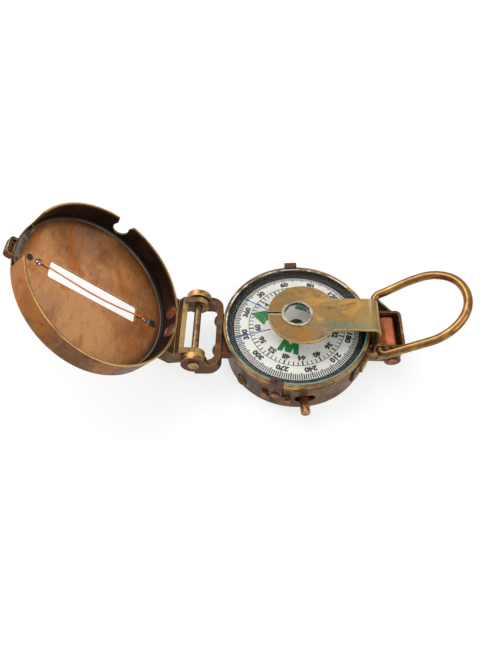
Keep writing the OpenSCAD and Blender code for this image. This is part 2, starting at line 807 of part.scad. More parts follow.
// A leaf inside the bracket: flat above, bent down and rolled round the cross pin
module leaf_spring() {
    half = frame_in - side_gap - 0.2;
    roll = cross_r + rivet_fit;
    x0 = knuckle_x + knuckle_r + 0.25;
    x1 = cross_x + roll + leaf_t;
    bend_x = x0 + leaf_dip * tan(arm_open);
    color(copper) upright(-half, half) difference() {
        union() {
            translate([bend_x, leaf_top - leaf_t]) square([x1 - 1 - bend_x, leaf_t]);
            polygon([
                [x0, leaf_top - leaf_dip],
                [bend_x, leaf_top],
                [bend_x + eps, leaf_top],
                [bend_x + eps, leaf_top - leaf_t],
                [x0, leaf_top - leaf_dip - leaf_t]
            ]);
            translate([x1 - 1, leaf_top - 1]) intersection() {
                circle(1);
                square(1);
            }
            translate([x1 - leaf_t, cross_z]) square([leaf_t, leaf_top - 1 - cross_z]);
            translate([cross_x, cross_z]) circle(roll + leaf_t);
        }
        translate([x1 - 1, leaf_top - 1]) circle(1 - leaf_t);
        translate([cross_x, cross_z]) circle(roll);
        translate([cross_x - 2 * roll, cross_z]) square([2 * roll, 2 * roll]);
    }
}

module bracket_tab_rivets() {
    color(dark_brass) for (s = [-1, 1]) on_wall(s * tab_rivet_deg, tab_rivet_z)
        translate([0, 0, case_r + tab_t])
            rivet(tab_head_r, small_head_h, tab_rivet_r, tab_t + case_wall - eps);
}

module lens_hinge_pin() {
    head_h = 0.4;
    color(brass) {
        upright(-frame_w / 2 - head_h, frame_w / 2 + head_h)
            translate([knuckle_x, knuckle_z]) circle(knuckle_pin_r);
        for (y = [-frame_w / 2 - head_h, frame_w / 2]) upright(y, y + head_h)
            translate([knuckle_x, knuckle_z]) circle(knuckle_pin_r + 0.4);
    }
}

// Bezel

module bezel_ring() {
    color(brass) rotate_extrude($fn = 180) {
        translate([glass_hole, bezel_z]) square([lip_w, bezel_h - lip_w / 2]);
        translate([glass_hole, bezel_z]) square([lip_w / 2, bezel_h]);
        translate([bezel_r - lip_w / 2, bezel_top - lip_w / 2]) circle(lip_w / 2);
        translate([seat_r, seat_low]) square([seat_w + eps, seat_t]);
    }
}

module glass() {
    color([0.75, 0.85, 0.82, 0.35]) rotate_extrude($fn = 180) polygon([
        [0, glass_low],
        [glass_r, glass_low],
        [glass_r, glass_top - glass_bevel],
        [glass_r - glass_bevel, glass_top],
        [0, glass_top]
    ]);
}

// Card

module compass_card() {
    color(white) translate([0, 0, card_low]) difference() {
        cylinder(r = card_r, h = card_t, $fn = 180);
        translate([0, 0, -eps]) cylinder(r = jewel_r + rivet_fit, h = card_t + 1);
    }
}

module card_hub() {
    color(copper) translate([0, 0, card_top]) difference() {
        cylinder(r = hub_r, h = hub_h);
        translate([0, 0, -eps]) cylinder(r = jewel_r + rivet_fit, h = hub_h + 1);
    }
}

module jewel_cap() {
    color("#24443c") difference() {
        translate([0, 0, jewel_low]) cylinder(r = jewel_r, h = jewel_top - jewel_low);
        translate([0, 0, jewel_low - eps]) cylinder(r = jewel_bore, h = point_top - 0.3 - jewel_low + eps);
        translate([0, 0, point_top - 0.3 - eps]) cylinder(r1 = jewel_bore, r2 = 0.1, h = 0.3 + point_gap);
    }
}

module magnets() {
    color(steel) rotate([0, 0, north_deg]) for (s = [-1, 1])
        translate([-magnet_l / 2, s * magnet_off - magnet_w / 2, magnet_low])
            cube([magnet_l, magnet_w, magnet_h]);
}

// Card lock

module lock_lever() {
    block_l = 3;
    block_h = 2 * slot_half - 0.4;
    color(dark_brass) rotate([0, 0, lock_deg]) difference() {
        union() {
            translate([0, 0, lever_z]) cylinder(r = lever_ring_r, h = lever_t);
            translate([0, -lever_w / 2, lever_z]) cube([lever_end, lever_w, lever_t]);
            translate([lever_end - block_l, -lever_w / 2, lock_z - block_h / 2])
                cube([block_l, lever_w, block_h]);
        }
        translate([0, 0, -eps]) cylinder(r = shoulder_r + run_fit, h = far);
        translate([lever_end - spigot_l, 0, lock_z]) rotate([0, 90, 0])
            cylinder(r = spigot_r + rivet_fit, h = spigot_l + 1);
    }
}

module lock_pin() {
    color(copper) on_wall(lock_deg, lock_z) {
        translate([0, 0, lever_end - spigot_l]) cylinder(r = spigot_r, h = spigot_l + eps);
        translate([0, 0, lever_end]) cylinder(r = lock_r, h = lock_reach - pin_chamfer - lever_end);
        translate([0, 0, lock_reach - pin_chamfer])
            cylinder(r1 = lock_r, r2 = lock_r - pin_chamfer, h = pin_chamfer);
    }
}

module card_lifter() {
    reach = plate_screw_x + lifter_foot;
    leg_low = plate_z + plate_t;
    color(copper) difference() {
        union() {
            cylinder_to(stem_r + 1.2, lifter_low, lifter_top);
            cylinder_to(lifter_r, lifter_top - lifter_t, lifter_top);
            translate([0, -lifter_w / 2, lifter_top - lifter_t]) cube([reach, lifter_w, lifter_t]);
            translate([reach - lifter_t, -lifter_w / 2, leg_low]) cube([lifter_t, lifter_w, lifter_top - leg_low]);
            translate([plate_screw_x - lifter_foot, -lifter_w / 2, leg_low])
                cube([2 * lifter_foot, lifter_w, lifter_t]);
        }
        translate([0, 0, -eps]) cylinder(r = stem_r + side_gap, h = far);
        translate([plate_screw_x, 0, leg_low - eps])
            cylinder(r = clip_shank_r + rivet_fit, h = lifter_t + 2 * eps);
    }
}

// Lid, drawn closed with the hinge pin as its origin: x is a, z is b

module lid_profile() {
    difference() {
        union() {
            translate([0, lid_rim]) square([lid_r, lid_h - lid_edge]);
            translate([0, lid_rim]) square([lid_r - lid_edge, lid_h]);
            translate([lid_r - lid_edge, lid_back - lid_edge]) circle(lid_edge);
        }
        inner_edge = lid_edge - 0.2;
        translate([-eps, lid_rim - eps]) square([lid_inner_r + eps, lid_in - inner_edge - lid_rim + eps]);
        translate([-eps, lid_rim - eps]) square([lid_inner_r - inner_edge + eps, lid_in - lid_rim + eps]);
        translate([lid_inner_r - inner_edge, lid_in - inner_edge]) circle(inner_edge);
    }
}

// The notch in the lid's side, drawn at +X of the lid's centre
module lid_notch() {
    mouth = notch_r * 1.08;
    rotate([0, 0, notch_deg]) translate([lid_r + 1, 0, 0]) rotate([0, -90, 0]) linear_extrude(lid_wall + 3) {
        translate([lid_rim + notch_deep, 0]) circle(notch_r);
        polygon([
            [lid_rim - 1, -mouth - 0.6],
            [lid_rim - 1, mouth + 0.6],
            [lid_rim + notch_deep - notch_r * 0.5, notch_r * 0.8],
            [lid_rim + notch_deep - notch_r * 0.5, -notch_r * 0.8]
        ]);
    }
}

// Places a thing at each rivet of the lid's skirt, with Z pointing to the lid's axis
module lid_rivet_places() {
    for (s = [-1, 1]) translate([hinge_x, 0, rivet_b])
        rotate([0, 0, -asin((lid_rivet_mid + s * lid_rivet_gap / 2) / lid_inner_r)])
            translate([-lid_inner_r, 0, 0]) rotate([0, 90, 0]) children();
}

module lid_shell() {
    color(brass) in_lid() difference() {
        translate([hinge_x, 0, 0]) rotate_extrude($fn = 180) lid_profile();
        translate([hinge_x, 0, 0]) ring_sector(lid_r - lid_edge - 0.2, lid_r + 1, lid_rim - 1, stub_b,
            cut_from, cut_to);
        translate([hinge_x, 0, 0]) lid_notch();
        translate([hinge_x, 0, lid_in - 1]) linear_extrude(lid_floor + 2)
            round_rect(sight_l, sight_w, sight_corner);
        for (s = [-1, 1]) {
            translate([hinge_x + s * wire_hole, 0, lid_in - 1]) cylinder(r = wire_hole_r, h = lid_floor + 2);
            translate([hinge_x + s * plug_off, 0, lid_in - 1])
                cylinder(r = plug_r - 0.3 + rivet_fit, h = lid_floor + 2);
        }
        lid_rivet_places() translate([0, 0, -far / 4])
            cylinder(r = lid_shank_r + rivet_fit, h = far / 4 + 1);
    }
}

// The lid's hinge bracket: a web on the skirt with an ear at each end
module lid_bracket() {
    ear = [
        [0, lid_ear_r],
        [lid_web_a - lid_web_t, lid_web_top],
        [lid_web_a, lid_web_top],
        [lid_web_a, lid_web_low],
        [lid_ear_r * 0.8, -lid_ear_r * 0.6]
    ];
    web_l = ear_far - ear_near;
    lid_saddle_low = lid_rim + 0.3;
    saddle_deep = lid_r - sqrt(pow(lid_r, 2) - pow(ear_near, 2)) - 0.2;
    color(brass) in_lid() difference() {
        union() {
            for (y = [ear_near, ear_far - lid_ear_t]) upright(y, y + lid_ear_t) {
                circle(lid_ear_r);
                polygon(ear);
            }
            translate([lid_web_a - lid_web_t, ear_near, lid_web_low])
                cube([lid_web_t, web_l, lid_web_top - lid_web_low]);
            translate([lid_web_a - eps, ear_near, lid_saddle_low])
                cube([saddle_deep, web_l, lid_web_top - lid_saddle_low]);
        }
        translate([hinge_x, 0, 0]) cylinder(r = lid_r, h = far, $fn = 180);
        upright(-far, far) circle(pin_r + run_fit);
        lid_rivet_places() translate([0, 0, -far / 4])
            cylinder(r = lid_shank_r + rivet_fit, h = far / 4 + 1);
    }
}

module lid_rivets() {
    seat = lid_inner_r - sqrt(pow(lid_inner_r, 2) - pow(lid_rivet_r, 2));
    color(copper) in_lid() lid_rivet_places() translate([0, 0, seat])
        rivet(lid_rivet_r, 0.35, lid_shank_r, hinge_x - lid_inner_r - lid_web_a + lid_web_t + seat);
}

module sighting_wire() {
    back_l = plug_off - plug_r - wire_hole;
    color("#c8713a") in_lid() {
        translate([hinge_x - wire_hole, 0, wire_b]) rotate([0, 90, 0])
            cylinder(r = sight_wire_r, h = 2 * wire_hole);
        for (s = [-1, 1]) {
            translate([hinge_x + s * wire_hole, 0, wire_b])
                cylinder(r = sight_wire_r, h = lid_back + sight_wire_r - wire_b);
            translate([hinge_x + s * wire_hole, 0, wire_b]) sphere(sight_wire_r);
            translate([hinge_x + s * wire_hole, 0, lid_back + sight_wire_r]) sphere(sight_wire_r);
            translate([hinge_x + s * (wire_hole + plug_off - plug_r) / 2, 0, lid_back + sight_wire_r])
                rotate([0, 90, 0]) cylinder(r = sight_wire_r, h = back_l, center = true);
        }
    }
}

module wire_plugs() {
    color(black) in_lid() for (s = [-1, 1]) translate([hinge_x + s * plug_off, 0, 0]) {
        translate([0, 0, lid_back]) cylinder(r = plug_r, h = plug_head_h);
        translate([0, 0, lid_in - 0.2]) cylinder(r = plug_r - 0.3, h = lid_floor + 0.3);
        translate([0, 0, lid_in - 0.3]) cylinder(r = plug_r, h = 0.3);
    }
}

// A strap bent round in a flat loop on the lid's outer end
module lid_catch() {
    deep = catch_h - catch_set;
    color(brass) in_lid() translate([hinge_x, catch_y, catch_b]) difference() {
        linear_extrude(deep) catch_plan(0);
        translate([0, 0, -eps]) linear_extrude(deep - catch_t + eps) catch_plan(catch_t);
        translate([0, -catch_y, -eps]) cylinder(r = lid_r, h = far, $fn = 180);
    }
}

module catch_plan(inset) {
    reach = lid_r + catch_out - inset;
    half = catch_w / 2 - inset;
    r = 1.2 - inset * 0.5;
    x0 = lid_r - 4;
    translate([x0, -half]) square([reach - r - x0, 2 * half]);
    translate([x0, -half + r]) square([reach - x0, 2 * (half - r)]);
    for (s = [-1, 1]) translate([reach - r, s * (half - r)]) circle(r);
}

// Lens arm

module arm_plan() {
    up = arm_w / 2 + neck_r;
    fx = head_x + sqrt(pow(head_r + neck_r, 2) - pow(up, 2));
    share = head_r / (head_r + neck_r);
    translate([head_x, 0]) circle(head_r, $fn = 120);
    translate([fx - eps, -arm_w / 2]) square([arm_reach - bend_r - fx + 2 * eps, arm_w]);
    for (s = [-1, 1]) difference() {
        polygon([
            [head_x, 0],
            [head_x + (fx - head_x) * share, s * up * share],
            [fx, s * up],
            [fx, 0]
        ]);
        translate([fx, s * up]) circle(neck_r);
    }
}

module lens_arm() {
    bend_x = arm_reach - bend_r;
    bend_z = arm_top - bend_r;
    color(brass) difference() {
        union() {
            translate([0, 0, arm_low]) linear_extrude(arm_t) arm_plan();
            upright(-arm_w / 2, arm_w / 2) {
                translate([bend_x, bend_z]) difference() {
                    intersection() {
                        circle(bend_r);
                        square(bend_r);
                    }
                    circle(bend_r - arm_t);
                }
                translate([arm_reach - arm_t, knuckle_z]) square([arm_t, bend_z - knuckle_z + eps]);
                translate([knuckle_x, knuckle_z]) circle(knuckle_r);
            }
        }
        upright(-far, far) translate([knuckle_x, knuckle_z]) circle(knuckle_pin_r + run_fit);
        translate([0, 0, arm_low - 1]) cylinder(r = lens_hole, h = arm_t + 2);
        translate([head_x - head_r - 1, -slit_w / 2, arm_low - 1]) cube([slit_l + 1, slit_w, arm_t + 2]);
        translate([head_x - head_r + slit_l, 0, arm_low - 1]) cylinder(r = slit_w / 2, h = arm_t + 2);
    }
}

lens_lip = 0.3;

module lens_ring() {
    color(brass) difference() {
        union() {
            cylinder_to(lens_r + lens_wall, lens_ring_low, lens_ring_top);
            cylinder_to(lens_r + lens_wall + lens_flange, arm_top, lens_ring_top);
        }
        cylinder_to(lens_r, lens_ring_low + lens_lip, far);
        cylinder_to(lens_r - lens_lip, 0, far);
    }
}

module lens() {
    edge_t = lens_t / 3;
    bulge = (lens_t - edge_t) / 2;
    rim = lens_r - rivet_fit;
    ball = (rim * rim + bulge * bulge) / (2 * bulge);
    color([0.85, 0.9, 0.9, 0.35]) translate([0, 0, lens_ring_low + lens_lip + lens_t / 2])
        rotate_extrude() intersection() {
            translate([0, -lens_t / 2]) square([rim, lens_t]);
            translate([0, lens_t / 2 - ball]) circle(ball, $fn = 300);
            translate([0, ball - lens_t / 2]) circle(ball, $fn = 300);
        }
}

// Bail

// One leg of the bail with its hook and end, in the bail's own plane. The curves stop short of
// each other, and a thin joint of nearly the same radius bridges them.
module bail_leg() {
    short = joint_gap / bail_side_r * 180 / PI;
    translate([hook_r, bail_half, 0]) rotate([0, 90, 0])
        cylinder(r = bail_wire_r, h = side_x - hook_r - joint_gap);
    bail_joint(side_x, bail_half, 0);
    translate([side_x, bail_half - bail_side_r, 0]) rotate([0, 0, 90 - bail_side_deg + short])
        rotate_extrude(angle = bail_side_deg - 2 * short) translate([bail_side_r, 0]) circle(bail_wire_r);
    bail_joint(bail_l - tip_r + tip_r * cos(tip_deg), tip_r * sin(tip_deg), -bail_side_deg);
    translate([hook_r, hook_y, 0]) rotate([0, 0, 90])
        rotate_extrude(angle = 90) translate([hook_r, 0]) circle(bail_wire_r);
    translate([0, hook_y + eps, 0]) rotate([90, 0, 0])
        cylinder(r = bail_end_r, h = side_gap + lug_t + side_gap);
}

module bail_joint(x, y, deg) {
    translate([x, y, 0]) rotate([0, 90, deg])
        cylinder(r = bail_wire_r + 0.02, h = 4 * joint_gap, center = true);
}

module bail() {
    short = joint_gap / tip_r * 180 / PI;
    color(brass) translate([bail_x, 0, bail_z]) rotate([0, -bail_deg, 0]) {
        translate([bail_l - tip_r, 0, 0]) rotate([0, 0, short - tip_deg])
            rotate_extrude(angle = 2 * (tip_deg - short)) translate([tip_r, 0]) circle(bail_wire_r);
        bail_leg();
        mirror([0, 1, 0]) bail_leg();
    }
}

base_case();
chapter_ring();
pivot_plate();
pivot_plate_screws();
pivot_post();
bezel_clip_near();
bezel_clip_far();
clip_screws();
click_spring();
click_spring_stud();
wall_stud();
hinge_yoke();
hinge_yoke_rivets();
hinge_pin();
lens_bracket();
bail_lug_near();
bail_lug_far();
bracket_cross_pin();
leaf_spring();
bracket_tab_rivets();
lens_hinge_pin();
bezel_ring();
glass();
compass_card();
card_hub();
jewel_cap();
magnets();
lock_lever();
lock_pin();
card_lifter();
lid_shell();
lid_bracket();
lid_rivets();
sighting_wire();
wire_plugs();
lid_catch();
lens_arm();
lens_ring();
lens();
bail();
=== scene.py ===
import json
import math
import bmesh
import bpy
from mathutils import Matrix, Vector


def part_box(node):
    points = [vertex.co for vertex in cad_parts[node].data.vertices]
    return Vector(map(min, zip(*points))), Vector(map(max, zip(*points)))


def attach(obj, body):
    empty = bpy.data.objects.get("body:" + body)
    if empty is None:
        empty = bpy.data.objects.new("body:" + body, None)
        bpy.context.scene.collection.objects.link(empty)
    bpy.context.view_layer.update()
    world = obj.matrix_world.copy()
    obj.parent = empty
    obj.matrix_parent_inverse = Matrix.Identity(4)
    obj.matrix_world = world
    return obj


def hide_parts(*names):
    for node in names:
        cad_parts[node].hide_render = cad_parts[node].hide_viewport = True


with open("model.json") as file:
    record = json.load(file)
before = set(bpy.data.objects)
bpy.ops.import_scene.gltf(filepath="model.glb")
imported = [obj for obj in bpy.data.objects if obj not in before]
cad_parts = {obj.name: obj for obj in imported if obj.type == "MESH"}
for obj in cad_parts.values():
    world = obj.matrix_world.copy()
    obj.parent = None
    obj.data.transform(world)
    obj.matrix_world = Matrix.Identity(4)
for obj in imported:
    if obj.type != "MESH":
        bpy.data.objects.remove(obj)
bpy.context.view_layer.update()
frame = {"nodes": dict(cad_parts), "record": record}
nodes = frame["nodes"]
scene = bpy.context.scene

# Shapes are given in millimetres and materials in metres
MM = 0.001
TURN = 2 * math.pi
WHITE = (1, 1, 1, 1)
BEADS = 170

# The lid's own frame is that of the closed lid: x outward from its middle, b up from the hinge pin's height
LID_OPEN = math.radians(133.3)
LID_COS, LID_SIN = math.cos(LID_OPEN), math.sin(LID_OPEN)
HINGE_R, HINGE_Z = 34.35, 12.9


def lid_pt(x, b, y=0.0):
    """A point of the open lid from its own frame."""
    a = HINGE_R + x
    return (-HINGE_R + a * LID_COS - b * LID_SIN, y, HINGE_Z + a * LID_SIN + b * LID_COS)


# ---------------------------------------------------------------- colour and node helpers
def lin(rgb):
    """Linear RGBA from 0-255 sRGB."""
    out = []
    for v in rgb:
        v = v / 255.0
        out.append(v / 12.92 if v <= 0.04045 else ((v + 0.055) / 1.055) ** 2.4)
    return (*out, 1.0)


class Nodes:
    """A small builder of shader nodes, for a material or the world."""

    def __init__(self, owner, output="ShaderNodeOutputMaterial"):
        owner.use_nodes = True
        self.owner, self.tree = owner, owner.node_tree
        self.tree.nodes.clear()
        self.out = self.node(output)
        coords = self.node("ShaderNodeTexCoord").outputs
        self.coord, self.facing, self.sky = coords["Object"], coords["Normal"], coords["Generated"]

    def node(self, kind, **props):
        n = self.tree.nodes.new(kind)
        for k, v in props.items():
            setattr(n, k, v)
        return n

    def link(self, a, b):
        self.tree.links.new(a, b)

    def fill(self, n, values):
        """Sets or links a node's inputs, by name or number."""
        for k, v in values.items():
            if isinstance(v, bpy.types.NodeSocket):
                self.link(v, n.inputs[k])
            else:
                n.inputs[k].default_value = v
        return n

    def mapped(self, scale=(1, 1, 1), rot=(0, 0, 0), loc=(0, 0, 0)):
        values = {"Vector": self.coord, "Scale": scale, "Rotation": rot, "Location": loc}
        return self.fill(self.node("ShaderNodeMapping"), values).outputs["Vector"]

    def noise(self, scale, detail, rough, vec=None, distort=0.0):
        values = {"Vector": vec or self.coord, "Scale": scale, "Detail": detail, "Roughness": rough,
                  "Distortion": distort}
        return self.fill(self.node("ShaderNodeTexNoise"), values).outputs["Fac"]

    def rng(self, v, a, b, lo=0.0, hi=1.0, smooth=True):
        """lo at a and beyond it, hi at b and beyond it, and between them a smooth or straight step."""
        n = self.node("ShaderNodeMapRange", interpolation_type="SMOOTHSTEP" if smooth else "LINEAR")
        values = {"Value": v, "From Min": a, "From Max": b, "To Min": lo, "To Max": hi}
        return self.fill(n, values).outputs["Result"]

    def math(self, op, a, b=0.0):
        return self.fill(self.node("ShaderNodeMath", operation=op), {0: a, 1: b}).outputs[0]

    def mul(self, v, *others):
        for w in others:
            v = self.math("MULTIPLY", v, w)
        return v

    def vector(self, op, a, b=(0, 0, 0)):
        n = self.fill(self.node("ShaderNodeVectorMath", operation=op), {0: a, 1: b})
        return n.outputs["Value"]

    def split(self, v):
        """The X, Y and Z of a vector."""
        return self.fill(self.node("ShaderNodeSeparateXYZ"), {0: v}).outputs

    def mix(self, share, a, b):
        n = self.node("ShaderNodeMix", data_type="RGBA")
        return self.fill(n, {"Factor": share, "A": a, "B": b}).outputs["Result"]

    def paint(self, c, rgb, *masks):
        """Another colour over c, where all the masks let it."""
        return self.mix(self.mul(*masks), c, lin(rgb))

    def bump(self, height, strength, distance, normal=None):
        values = {"Height": height, "Strength": strength, "Distance": distance}
        if normal is not None:
            values["Normal"] = normal
        return self.fill(self.node("ShaderNodeBump"), values).outputs["Normal"]

    def soft_edges(self, radius):
        """(rounded normal, 0-1 factor that is high at edges)."""
        soft = self.fill(self.node("ShaderNodeBevel", samples=4), {"Radius": radius}).outputs["Normal"]
        flat = self.node("ShaderNodeNewGeometry").outputs["Normal"]
        return soft, self.rng(self.vector("DOT_PRODUCT", soft, flat), 0.995, 0.82)

    def rays(self, *kinds):
        """1 for these kinds of ray, 0 for the others."""
        path = self.node("ShaderNodeLightPath").outputs
        v = path[kinds[0]]
        for kind in kinds[1:]:
            v = self.math("MAXIMUM", v, path[kind])
        return v

    def mix_shader(self, share, a, b):
        return self.fill(self.node("ShaderNodeMixShader"), {0: share, 1: a, 2: b}).outputs[0]

    def surface(self, shader):
        self.link(shader, self.out.inputs["Surface"])
        return self.owner

    def solid(self, color, metallic, rough, normal=None, **extra):
        values = {"Base Color": color, "Metallic": metallic, "Roughness": rough}
        if normal is not None:
            values["Normal"] = normal
        values.update({k.replace("_", " "): v for k, v in extra.items()})
        return self.surface(self.fill(self.node("ShaderNodeBsdfPrincipled"), values).outputs["BSDF"])


def material(name):
    return Nodes(bpy.data.materials.new(name))


# ---------------------------------------------------------------- metals
def patina(m, base, layers, edge, edge_mm=0.18, wear=0.8, metallic=0.75, rough=(0.32, 0.56), grain=0.4,
           bump=0.22, pits=0.5, scratch=0.35, seed=0.0, over=None, late=None):
    """Handled metal: soft patches of tarnish, grain, pits, scratches, painted shade and grime in corners, and
    rubbed edges.

    A layer is (colour, patches per metre, from, to, share) and may end with a stretch.
    over changes the colour before the painted corner shade and the edges, and late changes it after them.
    """
    def tone(k):
        return [min(255, x * k) for x in base]

    at = (seed * 0.13, -seed * 0.09, seed * 0.05)
    c = lin(base)
    for k, (rgb, scale, lo, hi, share, *stretch) in enumerate(layers):
        place = (at[0] + 0.17 * k, at[1], at[2] - 0.11 * k)
        v = m.mapped(stretch[0], (0.2 * k, 0.5 * k, 0.3 * k), place) if stretch else m.mapped(loc=place)
        c = m.paint(c, rgb, m.rng(m.noise(scale, 6, 0.6, v, 0.5), lo, hi), share)
    v = m.mapped(loc=at)
    mid = m.noise(520, 6, 0.68, v, 0.3)
    fine = m.noise(3000, 4, 0.62, v)
    c = m.paint(c, tone(0.55), m.rng(mid, 0.52, 0.30), grain)
    c = m.paint(c, tone(1.22), m.rng(mid, 0.54, 0.72), grain)
    c = m.paint(c, tone(0.25), m.rng(fine, 0.40, 0.28), pits)
    one = m.noise(1.0, 3, 0.5, m.mapped((6200, 6200, 300), (0.5, 0.9, 0.2), at))
    two = m.noise(1.0, 3, 0.5, m.mapped((300, 7000, 7000), (0.3, 0.2, 1.1), at))
    lines = m.math("MAXIMUM", m.rng(one, 0.64, 0.72), m.rng(two, 0.65, 0.74))
    c = m.paint(c, tone(1.35), lines, scratch)
    if over is not None:
        c = over(c)
    # Painted shade and grime: near-black in corners and crevices, from ambient occlusion
    ao = m.fill(m.node("ShaderNodeAmbientOcclusion", samples=4), {"Distance": 0.0013})
    c = m.paint(c, tone(0.14), m.rng(ao.outputs["AO"], 0.78, 0.30), 0.85)
    soft, edges = m.soft_edges(edge_mm * MM)
    rub = m.mul(edges, m.rng(mid, 0.32, 0.52, 0.35, 1.0))
    c = m.paint(c, edge, rub, wear)
    if late is not None:
        c = late(c)
    r = m.math("SUBTRACT", m.rng(mid, 0.35, 0.65, rough[1], rough[0], False), m.mul(rub, 0.10))
    h = m.math("ADD", m.mul(fine, 0.35), m.mul(mid, 0.65))
    return m.solid(c, metallic, r, m.bump(h, bump, 0.00012, soft))


def bezel_marks(m):
    """Near-black between the beads of the milled edge: grime and painted shade in the valleys."""
    x, y, z = m.split(m.coord)
    band_top, band_bottom = (0.01276, 0.01266), (0.01138, 0.01148)
    band = m.mul(m.rng(z, *band_top), m.rng(z, *band_bottom))
    bead = m.math("COSINE", m.mul(m.math("ARCTAN2", y, x), BEADS))
    return {"late": lambda c: m.paint(c, (14, 9, 6), band, m.rng(bead, 0.7, -0.05))}


def lid_marks(m):
    """The lid told apart by its own frame: brown-gold floor with painted light and shade, near-black skirt inside
    from dark patina and painted shade, mottled brown outside.
    """
    shift = (-(HINGE_R * (1 - LID_COS) + HINGE_Z * LID_SIN) * MM, 0, -(HINGE_R * LID_SIN + HINGE_Z * LID_COS) * MM)
    x, y, b = m.split(m.mapped(rot=(0, LID_OPEN, 0), loc=shift))
    flat = m.fill(m.node("ShaderNodeCombineXYZ"), {"X": x, "Y": y}).outputs[0]
    r = m.vector("LENGTH", flat)
    skirt_middle, back_middle = (0.02820, 0.02812), (0.01185, 0.01175)
    corner, corner_back = (0.02660, 0.02745), (0.02745, 0.02660)
    rim_face, outer_half = (0.00345, 0.00338), (0.02802, 0.02818)
    seam_in, seam_out = (0.02672, 0.02684), (0.02716, 0.02704)
    inside = m.mul(m.rng(r, *skirt_middle), m.rng(b, *back_middle))
    wall = m.mul(inside, m.rng(r, *corner))
    floor = m.mul(inside, m.rng(r, *corner_back))

    def over(c):
        # Orange-gold over the outside of the lid's far end, away from the hinge
        far_end_gold = m.mul(m.rng(m.noise(160, 5, 0.6), 0.34, 0.58, 0.25, 0.75), m.rng(b, 0.0150, 0.0138, 0.35, 1.0))
        c = m.paint(c, (198, 124, 50), m.rng(x, 0.012, 0.026), far_end_gold)
        big = m.noise(42, 5, 0.55, m.mapped(loc=(0.31, 0.1, 0.0)), 0.4)
        mid = m.noise(95, 6, 0.62, m.mapped((1, 0.55, 1), (0.2, 0.3, 0.9), (0.1, 0.5, 0.2)), 0.6)
        third = m.noise(70, 5, 0.6, m.mapped(loc=(0.7, -0.2, 0.4)), 0.5)
        wisps = m.noise(1.0, 6, 0.68, m.mapped((900, 210, 900), (0.4, 0.2, 0.7), (0.2, 0.4, 0.1)), 0.8)
        fine = m.noise(1500, 5, 0.7)
        ground = m.paint(lin((150, 92, 46)), (206, 146, 90), m.rng(big, 0.34, 0.53))
        # Painted light and shade on the floor: lighter in the middle and towards the near side, darker towards the
        # far side, towards the hinge and near the seam; the other layers are tone, streaks and specks
        for rgb, mask, share in (
                ((206, 148, 104), m.rng(r, 0.017, 0.004), 0.5),
                ((120, 68, 26), m.rng(y, 0.012, 0.023), 0.75),
                ((206, 150, 98), m.rng(y, -0.004, -0.020), 0.70),
                ((140, 76, 26), m.rng(x, -0.004, -0.020), 0.7),
                ((176, 98, 30), m.rng(mid, 0.50, 0.64), 0.80),
                ((168, 122, 96), m.rng(third, 0.51, 0.62), 0.55),
                ((108, 58, 24), m.rng(wisps, 0.47, 0.32), 0.42),
                ((214, 158, 102), m.rng(wisps, 0.54, 0.70), 0.36),
                ((96, 58, 32), m.rng(fine, 0.44, 0.26), 0.5),
                ((54, 36, 26), m.rng(m.noise(260, 2, 0.5), 0.74, 0.78), 0.8),
                ((78, 46, 24), m.rng(r, 0.0236, 0.0266), m.rng(big, 0.30, 0.60, 1.0, 0.55))):
            ground = m.paint(ground, rgb, mask, share)
        # The skirt's inside: near-black for dark patina and painted shade, lighter towards the rim, and darkest
        # towards the floor, as painted shade in the corner
        dark = m.paint(lin((17, 12, 9)), (50, 33, 21), m.rng(mid, 0.44, 0.70))
        dark = m.paint(dark, (104, 76, 46), m.rng(b, 0.0046, 0.0035), 0.5)
        dark = m.paint(dark, (8, 6, 4), m.rng(b, 0.0098, 0.0108))
        c = m.mix(wall, m.mix(floor, c, ground), dark)
        face = m.rng(b, *rim_face)
        c = m.paint(c, (112, 80, 48), face)
        seam = m.mul(m.rng(r, *seam_in), m.rng(r, *seam_out), inside)
        c = m.paint(c, (158, 146, 130), seam, m.rng(x, 0.016, 0.004), m.rng(mid, 0.34, 0.5, 0.4, 0.9))
        # Painted highlight: a broken bright line along the outer half of the rim's face
        return m.paint(c, (226, 178, 112), face, m.rng(r, *outer_half), m.rng(mid, 0.36, 0.54, 0.35, 1.0))

    return {"over": over}


def arm_marks(m):
    """Warmer towards the bend, greyer towards the lens, sides painted gold as a highlight, and painted shade on the
    walls of the slit in the end of the arm.
    """
    x, y, _ = m.split(m.coord)
    past_card, past_middle, bend, far_end = (0.014, 0.024), (0.007, -0.004), (0.0235, 0.0262), (0.002, 0.001)
    slit_half = (0.00066, 0.00058)
    side = m.rng(m.math("ABSOLUTE", m.split(m.facing)["Z"]), 0.5, 0.3)
    # Painted shade: near-black on the walls of the slit in the arm, standing for the shade inside it
    slit_shade = m.mul(side, m.rng(m.math("ABSOLUTE", y), *slit_half), m.rng(x, *far_end))

    def over(c):
        c = m.paint(c, (190, 160, 104), m.rng(x, *past_card), 0.25)
        c = m.paint(c, (112, 92, 54), m.rng(x, *past_middle), 0.55)
        streaks = m.rng(m.noise(1.0, 3, 0.5, m.mapped((420, 60, 420))), 0.50, 0.62)
        c = m.paint(c, (214, 200, 162), streaks, m.rng(x, *bend))
        # Painted highlight: the arm's side faces gold
        return m.paint(c, (208, 158, 88), side, m.rng(m.noise(420, 5, 0.6), 0.36, 0.56, 0.4, 0.95))

    return {"over": over, "late": lambda c: m.paint(c, (24, 16, 10), slit_shade)}


